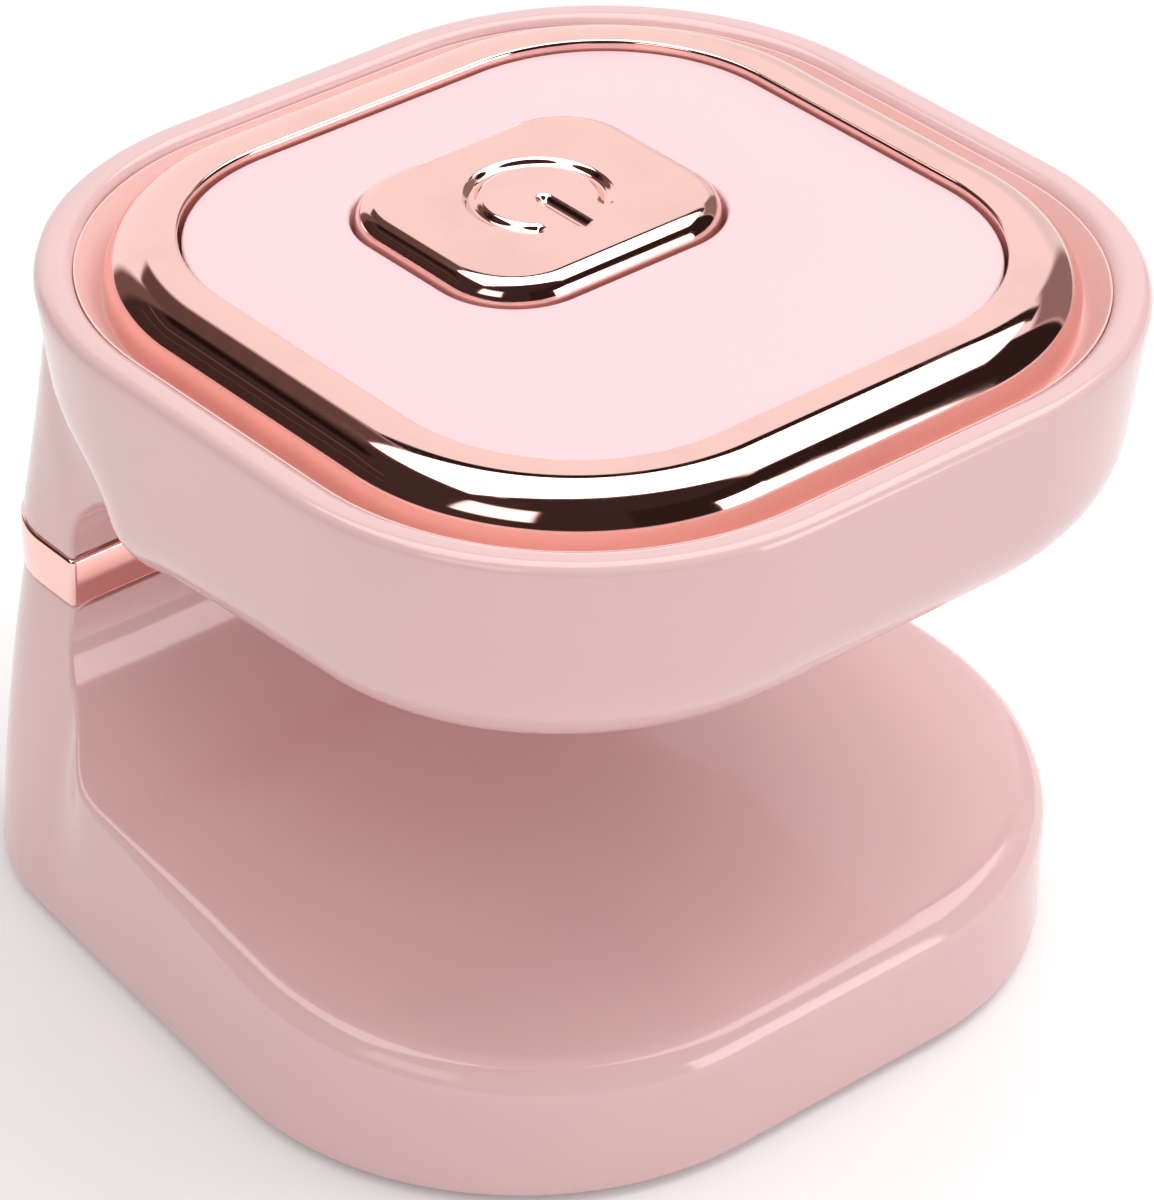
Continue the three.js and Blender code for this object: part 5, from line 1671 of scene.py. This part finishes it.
@dataclass
class TopPanel:
    """The satin plate inside the ring, with softened edges and the button's opening."""

    layout: Layout
    edge_round: float = 0.25
    hole_round: float = 0.35
    round_steps: int = 5
    steps: int = 40

    def build(self) -> bpy.types.Object:
        """Make the plate.

        Returns:
            The plate.
        """
        at = self.layout
        turns = np.linspace(0, QUARTER, self.round_steps + 1)
        rows = [(at.hole_plan, at.z_panel_seat), (at.panel_plan, at.z_panel_seat)]
        for turn in turns:
            rise = self.edge_round * (1 - math.sin(turn))
            rows.append((at.panel_plan.inset(self.edge_round * (1 - math.cos(turn))), at.z_panel - rise))
        for turn in turns[::-1]:
            rise = self.hole_round * (1 - math.sin(turn))
            rows.append((at.hole_plan.inset(-self.hole_round * (1 - math.cos(turn))), at.z_panel - rise))
        plate = stack("top_panel_plate", [at_level(plan.outline(self.steps), z) for plan, z in rows])
        smooth(plate)
        return plate


@dataclass
class ButtonCap:
    """The plated cap: a flat top with a rolled edge, and a power sign pressed into it."""

    layout: Layout
    gap: float = 0.4
    roll: float = 2.0
    wall: float = 1.6
    flange: float = 1.0
    flange_thickness: float = 1.2
    stem_radius: float = 3.0
    stem_end: float = 61.253
    sign_radius: float = 5.55
    sign_half_width: float = 0.92
    sign_depth: float = 0.5
    sign_gap_degrees: float = 42.0
    bar_start: float = 0.7
    bar_end: float = 5.7
    roll_steps: int = 24
    turns: int = 480
    top_rows: int = 4
    sign_rows: int = 34
    middle_rows: int = 40
    middle_radius: float = 0.12

    def groove(self, x: Array, y: Array) -> Array:
        """How deep the sign lies below the top.

        Args:
            x: Places across, from the sign's middle.
            y: Places along, from its middle.

        Returns:
            The depths.
        """
        far = np.hypot(x, y)
        off = np.abs((np.arctan2(x, -y) + math.pi) % FULL_TURN - math.pi)
        gap = math.radians(self.sign_gap_degrees)
        end_x, end_y = self.sign_radius * math.sin(gap), -self.sign_radius * math.cos(gap)
        to_arc = np.where(off >= gap, np.abs(far - self.sign_radius), np.hypot(np.abs(x) - end_x, y - end_y))
        to_bar = np.hypot(x, y - np.clip(y, -self.bar_end, -self.bar_start))
        share = np.minimum(np.minimum(to_arc, to_bar) / self.sign_half_width, 1.0)
        return self.sign_depth * (1 + np.cos(math.pi * share)) / 2

    def build(self) -> bpy.types.Object:
        """Make the cap.

        Returns:
            The cap.
        """
        at = self.layout
        angle = np.linspace(0, FULL_TURN, self.turns, endpoint=False)
        ray = np.stack([np.cos(angle), np.sin(angle)], 1)
        outer = at.hole_plan.inset(self.gap)
        flange_top = at.z_pocket - FIT_GAP
        flange_low = flange_top - self.flange_thickness
        top = at.z_button_top

        def row(reach: Any, z: Any) -> Array:
            """A closed row at given distances from the middle."""
            flat = ray * np.broadcast_to(reach, angle.shape)[:, None] + [0, at.y_button]
            return np.column_stack([flat, np.broadcast_to(z, angle.shape)])

        def edge(inset: float) -> Array:
            """The cap's outline, drawn in."""
            return outer.inset(inset).reach(at.y_button, angle)

        inside = edge(self.wall)
        rows = [
            row(self.stem_radius, self.stem_end),
            row(self.stem_radius, top - self.wall),
            row(inside, top - self.wall),
            row(inside, flange_low),
            row(edge(-self.flange), flange_low),
            row(edge(-self.flange), flange_top),
            row(edge(0), flange_top),
        ]
        for turn in np.linspace(0, QUARTER, self.roll_steps + 1):
            rows.append(row(edge(self.roll * (1 - math.cos(turn))), top - self.roll * (1 - math.sin(turn))))
        rim = edge(self.roll)
        clear = self.sign_radius + 2 * self.sign_half_width
        rows += [row(lerp(rim, clear, i / self.top_rows), top) for i in range(1, self.top_rows)]
        inner_edge = self.sign_radius - self.sign_half_width
        rings = [
            *np.linspace(clear, inner_edge, self.sign_rows),
            *np.linspace(inner_edge, self.middle_radius, self.middle_rows)[1:],
        ]
        for radius in rings:
            x, y = (ray * radius).T
            rows.append(row(radius, top - self.groove(x, y)))
        body = Body()
        for low, high in zip(rows, rows[1:]):
            body.strip(low, high, closed=True)
        middle = top - float(self.groove(np.zeros(1), np.zeros(1))[0])
        body.fan((0, at.y_button, self.stem_end), rows[0][::-1])
        body.fan((0, at.y_button, middle), rows[-1])
        cap = body.build("button_cap_face")
        smooth(cap)
        return cap


@dataclass
class PanelCarrier:
    """The frame in the recess: its plate is the recess's floor, and its raised middle bears the panel."""

    layout: Layout
    pocket_margin: float = 3.3
    wall_gap: float = 0.02
    cove_gap: float = 0.1
    cove_lip: float = 0.15
    cove_power: float = 1.5
    cove_steps: int = 12
    screw_head_hole: float = 1.8
    screw_sink: float = 1.0
    steps: int = 24

    def build(self) -> bpy.types.Object:
        """Make the frame.

        Returns:
            The frame.
        """
        at = self.layout
        taper = at.head_taper * (at.z_rim - at.z_carrier) / at.head_height
        plate = at.head_plan.inset(at.head_wall + taper + self.wall_gap)
        brim_taper = at.head_taper * (at.z_rim - at.z_panel_seat) / at.head_height
        brim = at.head_plan.inset(at.head_wall + brim_taper + self.wall_gap)
        foot = at.ring_gap + at.ring_width + self.cove_gap
        reach = brim.front_half - at.panel_plan.front_half - foot
        rows = [(plate, at.z_carrier), (brim, at.z_panel_seat)]
        for share in np.linspace(0, 1, self.cove_steps + 1):
            rise = (1 - share) ** self.cove_power * (at.z_panel_seat - at.z_carrier_top)
            course = brim.inset(lerp(self.cove_lip, reach, share))
            rows.append((course, at.z_carrier_top + rise))
        frame = loft("panel_carrier_frame", rows, self.steps)
        raised = loft("raised", [(at.panel_plan, at.z_carrier), (at.panel_plan, at.z_panel_seat)], self.steps)
        carve(frame, [raised], Joint.JOIN)
        pocket = at.panel_plan.inset(self.pocket_margin)
        z_over = at.z_panel_seat + OVERRUN
        tools = [
            loft("pocket", [(pocket, at.z_carrier - OVERRUN), (pocket, at.z_pocket)], self.steps),
            loft("hole", [(at.hole_plan, at.z_carrier), (at.hole_plan, z_over)], self.steps),
        ]
        for place in at.carrier_bosses():
            tools.append(post(at.small_screw_hole, at.z_carrier - OVERRUN, at.z_carrier_top + OVERRUN, place))
            low = at.z_carrier_top - self.screw_sink
            tools.append(post(self.screw_head_hole, low, z_over, place))
        carve(frame, tools, Joint.CUT)
        smooth(frame)
        return frame


@dataclass(frozen=True)
class Dressing:
    """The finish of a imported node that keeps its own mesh."""

    node: str
    finish: Finish


DRESSINGS = [
    Dressing("base_cover", PINK_PLASTIC_WITH_PAINTED_LIGHT),
    *[Dressing(f"rubber_foot_{i}", FOOT_RUBBER) for i in range(1, 5)],
    *[Dressing(f"base_screw_{i}", SCREW_STEEL) for i in range(1, 5)],
    Dressing("usb_board", GREEN_MASK),
    Dressing("usb_socket", SOCKET_STEEL),
    Dressing("usb_tongue", BLACK_PLASTIC),
    Dressing("wire_red", RED_PVC),
    Dressing("wire_black", BLACK_PVC),
    Dressing("column_screw_left", SCREW_STEEL),
    Dressing("column_screw_right", SCREW_STEEL),
    Dressing("lens_window", CLEAR_WINDOW),
    Dressing("reflector", REFLECTOR_CHROME),
    Dressing("led_board", WHITE_MASK),
    *[Dressing(f"uv_led_{i}", DIODE_PLASTIC) for i in range(1, 7)],
    *[Dressing(f"led_board_screw_{i}", SCREW_STEEL) for i in range(1, 3)],
    Dressing("control_board", GREEN_MASK),
    *[Dressing(f"control_board_screw_{i}", SCREW_STEEL) for i in range(1, 3)],
    Dressing("control_chip", BLACK_PLASTIC),
    Dressing("inductor", BLACK_PLASTIC),
    Dressing("capacitor", SCREW_STEEL),
    Dressing("switch_body", BLACK_PLASTIC),
    Dressing("switch_plunger", WHITE_PLASTIC),
    *[Dressing(f"carrier_screw_{i}", SCREW_STEEL) for i in range(1, 5)],
]


@dataclass(frozen=True)
class Lamp:
    """A soft square lamp aimed at the object. Angles are in degrees, from the right towards the back."""

    name: str
    azimuth: float
    elevation: float
    distance: float
    width: float
    height: float
    watts: float

    def build(self, target: Vector) -> None:
        """Hang the lamp.

        Args:
            target: The point that it faces.
        """
        light = bpy.data.lights.new(self.name, "AREA")
        light.shape = "RECTANGLE"
        light.size, light.size_y = self.width, self.height
        light.energy = self.watts
        lamp = bpy.data.objects.new(self.name, light)
        bpy.context.scene.collection.objects.link(lamp)
        a, e = math.radians(self.azimuth), math.radians(self.elevation)
        back = Vector((math.cos(a) * math.cos(e), math.sin(a) * math.cos(e), math.sin(e)))
        lamp.location = target + back * self.distance
        lamp.rotation_euler = back.to_track_quat("Z", "Y").to_euler()
        lamp.visible_glossy = False


@dataclass(frozen=True)
class Card:
    """A soft-edged patch of the studio that glossy surfaces mirror. Angles are in degrees."""

    azimuth: float
    elevation: float
    half_width: float
    half_height: float
    level: float
    soft: float = 3.0


@dataclass(frozen=True)
class Pane:
    """A patch of the turned ceiling that glossy surfaces mirror, as slopes to its right and its back."""

    right_low: float
    right_high: float
    back_low: float
    back_high: float
    level: float
    soft: float = 0.02


@dataclass
class Studio:
    """The pale floor, the lamps, the surroundings and the camera at the photograph's angle."""

    layout: Layout
    azimuth: float = -40.603
    elevation: float = 33.793
    roll: float = 0.406
    shift_x: float = 1.214
    shift_y: float = 29.233
    distance: float = 441.416
    focal: float = 5446.243
    image_height: int = 1200
    sensor: float = 36.0
    near_clip: float = 0.01
    white: Colour = (1.0, 1.0, 1.0)
    floor_size: float = 3.0
    floor_colour: Colour = (0.95, 0.95, 0.95)
    camera_rise: float = 2.0
    ambient: float = 0.92
    ambient_side: float = 0.36
    warm_below: float = 0.8
    warm: Colour = (1.0, 0.62, 0.55)
    floor_glow: float = 0.12
    glossy_level: float = 1.0
    lamps: tuple[Lamp, ...] = (
        Lamp("key_lamp", -20.0, 62.0, 0.9, 0.6, 0.6, 2.6),
        Lamp("side_lamp", -110.0, 35.0, 1.0, 0.5, 0.5, 0.6),
    )
    cards: tuple[Card, ...] = (
        Card(32.0, 5.0, 12.0, 14.0, 0.82, 6.0),
        Card(7.0, 12.0, 14.5, 21.0, 0.28, 2.5),
        Card(-110.0, 40.0, 66.0, 40.0, 0.04),
        Card(-58.0, 17.0, 50.0, 27.0, 0.025, 1.5),
        Card(101.0, 25.0, 9.0, 34.0, 0.16, 3.0),
        Card(156.0, 20.0, 50.0, 44.0, 0.05, 3.0),
        Card(119.0, 39.0, 9.0, 2.5, 0.012, 1.5),
        Card(128.0, 29.0, 20.0, 0.6, 0.16, 0.5),
        Card(134.0, 19.0, 20.0, 0.5, 0.12, 0.5),
        Card(-162.5, 34.0, 16.0, 12.0, 1.8, 2.0),
        Card(-63.5, 8.0, 11.0, 17.0, 5.0, 0.8),
    )
    panes: tuple[Pane, ...] = (
        Pane(-0.78, -0.2, 0.67, 1.6, 0.12, 0.07),
        Pane(-0.2, 1.25, 0.66, 0.93, 0.02),
        Pane(-0.6, 1.04, -0.19, 0.68, 3.6),
    )
    ceiling_turn: float = -26.0

    def camera(self) -> None:
        """Set the camera where the photograph was taken from."""
        a, e, r = (math.radians(v) for v in (self.azimuth, self.elevation, self.roll))
        back = Vector((math.sin(a) * math.cos(e), -math.cos(a) * math.cos(e), math.sin(e)))
        right = Vector((math.cos(a), math.sin(a), 0))
        up = back.cross(right)
        across = right * math.cos(r) + up * math.sin(r)
        rising = -right * math.sin(r) + up * math.cos(r)
        place = -self.shift_x * across - self.shift_y * rising + self.distance * back
        place += Vector((0, self.layout.y_head, self.layout.z_rim + self.camera_rise))
        data = bpy.data.cameras.new("camera")
        data.sensor_width = self.sensor
        data.sensor_fit = "AUTO"
        data.lens = self.sensor * self.focal / self.image_height
        data.clip_start = self.near_clip
        camera = bpy.data.objects.new("camera", data)
        turn = Matrix((across, rising, back)).transposed()
        camera.matrix_world = Matrix.Translation(place * MM) @ turn.to_4x4()
        bpy.context.scene.collection.objects.link(camera)
        bpy.context.scene.camera = camera

    def floor(self) -> None:
        """Lay the pale floor, which glows a little for the camera so that it shows white."""
        half = self.floor_size / 2
        mesh = bpy.data.meshes.new("floor")
        corners = [(-half, -half, 0), (half, -half, 0), (half, half, 0), (-half, half, 0)]
        mesh.from_pydata(corners, [], [(0, 1, 2, 3)])
        floor = bpy.data.objects.new("floor", mesh)
        bpy.context.scene.collection.objects.link(floor)
        material, tree = new_material("pale_floor")
        seen, mirrored, through = tree.rays()
        either = tree.maths("ADD", seen + mirrored, through, clamp_result=True)
        plain = tree.add("ShaderNodeBsdfDiffuse", None, {"Color": (*self.floor_colour, 1)})
        strength = either * self.floor_glow
        glow = tree.add("ShaderNodeEmission", None, {"Color": (*self.white, 1), "Strength": strength})
        both = tree.add("ShaderNodeAddShader")
        tree.links.new(plain.outputs[0], both.inputs[0])
        tree.links.new(glow.outputs[0], both.inputs[1])
        tree.close(both)
        mesh.materials.append(material)

    def surroundings(self) -> None:
        """Make the world: white for the camera, soft cards in glossy surfaces, plain light for the rest."""
        world = bpy.data.worlds.new("studio")
        bpy.context.scene.world = world
        tree = Tree(world)
        where = tree.signal("ShaderNodeTexCoord", "Generated")
        parts = tree.add("ShaderNodeSeparateXYZ", None, {"Vector": where})
        x, y, z = (Signal(tree, output) for output in parts.outputs)
        height = tree.maths("ARCSINE", z) * DEGREES
        level = height * 0.0 + self.glossy_level
        for card in self.cards:
            turn = math.radians(card.azimuth)
            ahead = x * math.cos(turn) + y * math.sin(turn)
            aside = y * math.cos(turn) - x * math.sin(turn)
            off = tree.maths("ABSOLUTE", tree.maths("ARCTAN2", aside, ahead) * DEGREES)
            apart = tree.maths("ABSOLUTE", height - card.elevation)
            mask = tree.under(off, card.half_width, card.soft)
            mask = mask * tree.under(apart, card.half_height, card.soft)
            level = level + (card.level - level) * mask
        ahead = tree.maths("MAXIMUM", z, LEAST_RISE)
        turn = math.radians(self.ceiling_turn)
        right = tree.maths("DIVIDE", x * math.cos(turn) + y * math.sin(turn), ahead)
        back = tree.maths("DIVIDE", y * math.cos(turn) - x * math.sin(turn), ahead)
        for pane in self.panes:
            mask = tree.between(right, pane.right_low, pane.right_high, pane.soft)
            mask = mask * tree.between(back, pane.back_low, pane.back_high, pane.soft)
            level = level + (pane.level - level) * mask
        seen, mirrored, through = tree.rays()
        soft = self.ambient_side + tree.rise(z, 0.0, 1.0) * (self.ambient - self.ambient_side)
        strength = seen + mirrored * level + through
        strength = strength + (1 - tree.maths("ADD", seen + mirrored, through, clamp_result=True)) * soft
        dim = (1 - tree.rise(level, 0.0, self.warm_below)) * mirrored
        tint = tree.blend(dim, self.white, self.warm)
        sky = tree.add("ShaderNodeBackground", None, {"Color": tint, "Strength": strength})
        tree.add("ShaderNodeOutputWorld")
        tree.links.new(sky.outputs[0], tree.nodes[-1].inputs["Surface"])

    def build(self) -> None:
        """Set the whole studio."""
        self.camera()
        self.floor()
        self.surroundings()
        target = Vector((0, self.layout.y_head, self.layout.z_rim / 2)) * MM
        for lamp in self.lamps:
            lamp.build(target)
        bpy.context.scene.view_settings.view_transform = "Standard"


def main() -> None:
    """Load the frame, build the pieces, dress them and light them."""
    logging.basicConfig(level=logging.INFO, format="%(name)s: %(message)s")
    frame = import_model()
    layout = Layout()
    paints = Paints()
    Studio(layout).build()
    pieces = [
        (BaseShell(layout), PINK_PLASTIC, Rider.HOUSING, "base_shell", "pink_plastic"),
        (WaistBand(layout), ROSE_GOLD, Rider.HOUSING, "waist_band", "rose_gold"),
        (HeadShell(layout), PINK_PLASTIC, Rider.HOUSING, "head_shell", "pink_plastic"),
        (PanelCarrier(layout), PINK_PLASTIC_WITH_PAINTED_LIGHT, Rider.HOUSING, "panel_carrier", "pink_matte_plastic"),
        (BezelRing(layout), ROSE_GOLD, Rider.HOUSING, "bezel_ring", "rose_gold"),
        (TopPanel(layout), PANEL_PLASTIC, Rider.HOUSING, "top_panel", "panel_plastic"),
        (ButtonCap(layout), ROSE_GOLD, Rider.BUTTON, "button_cap", "rose_gold"),
    ]
    for maker, finish, body, node, slot in pieces:
        seat(maker.build(), paints.of(finish), body, node, slot)
    for dressing in DRESSINGS:
        piece = frame["nodes"][dressing.node]
        for material_slot in piece.material_slots:
            material_slot.material = paints.of(dressing.finish)
        LOG.info("%s dressed as %s", dressing.node, dressing.finish.name)


if __name__ == "__main__":
    main()
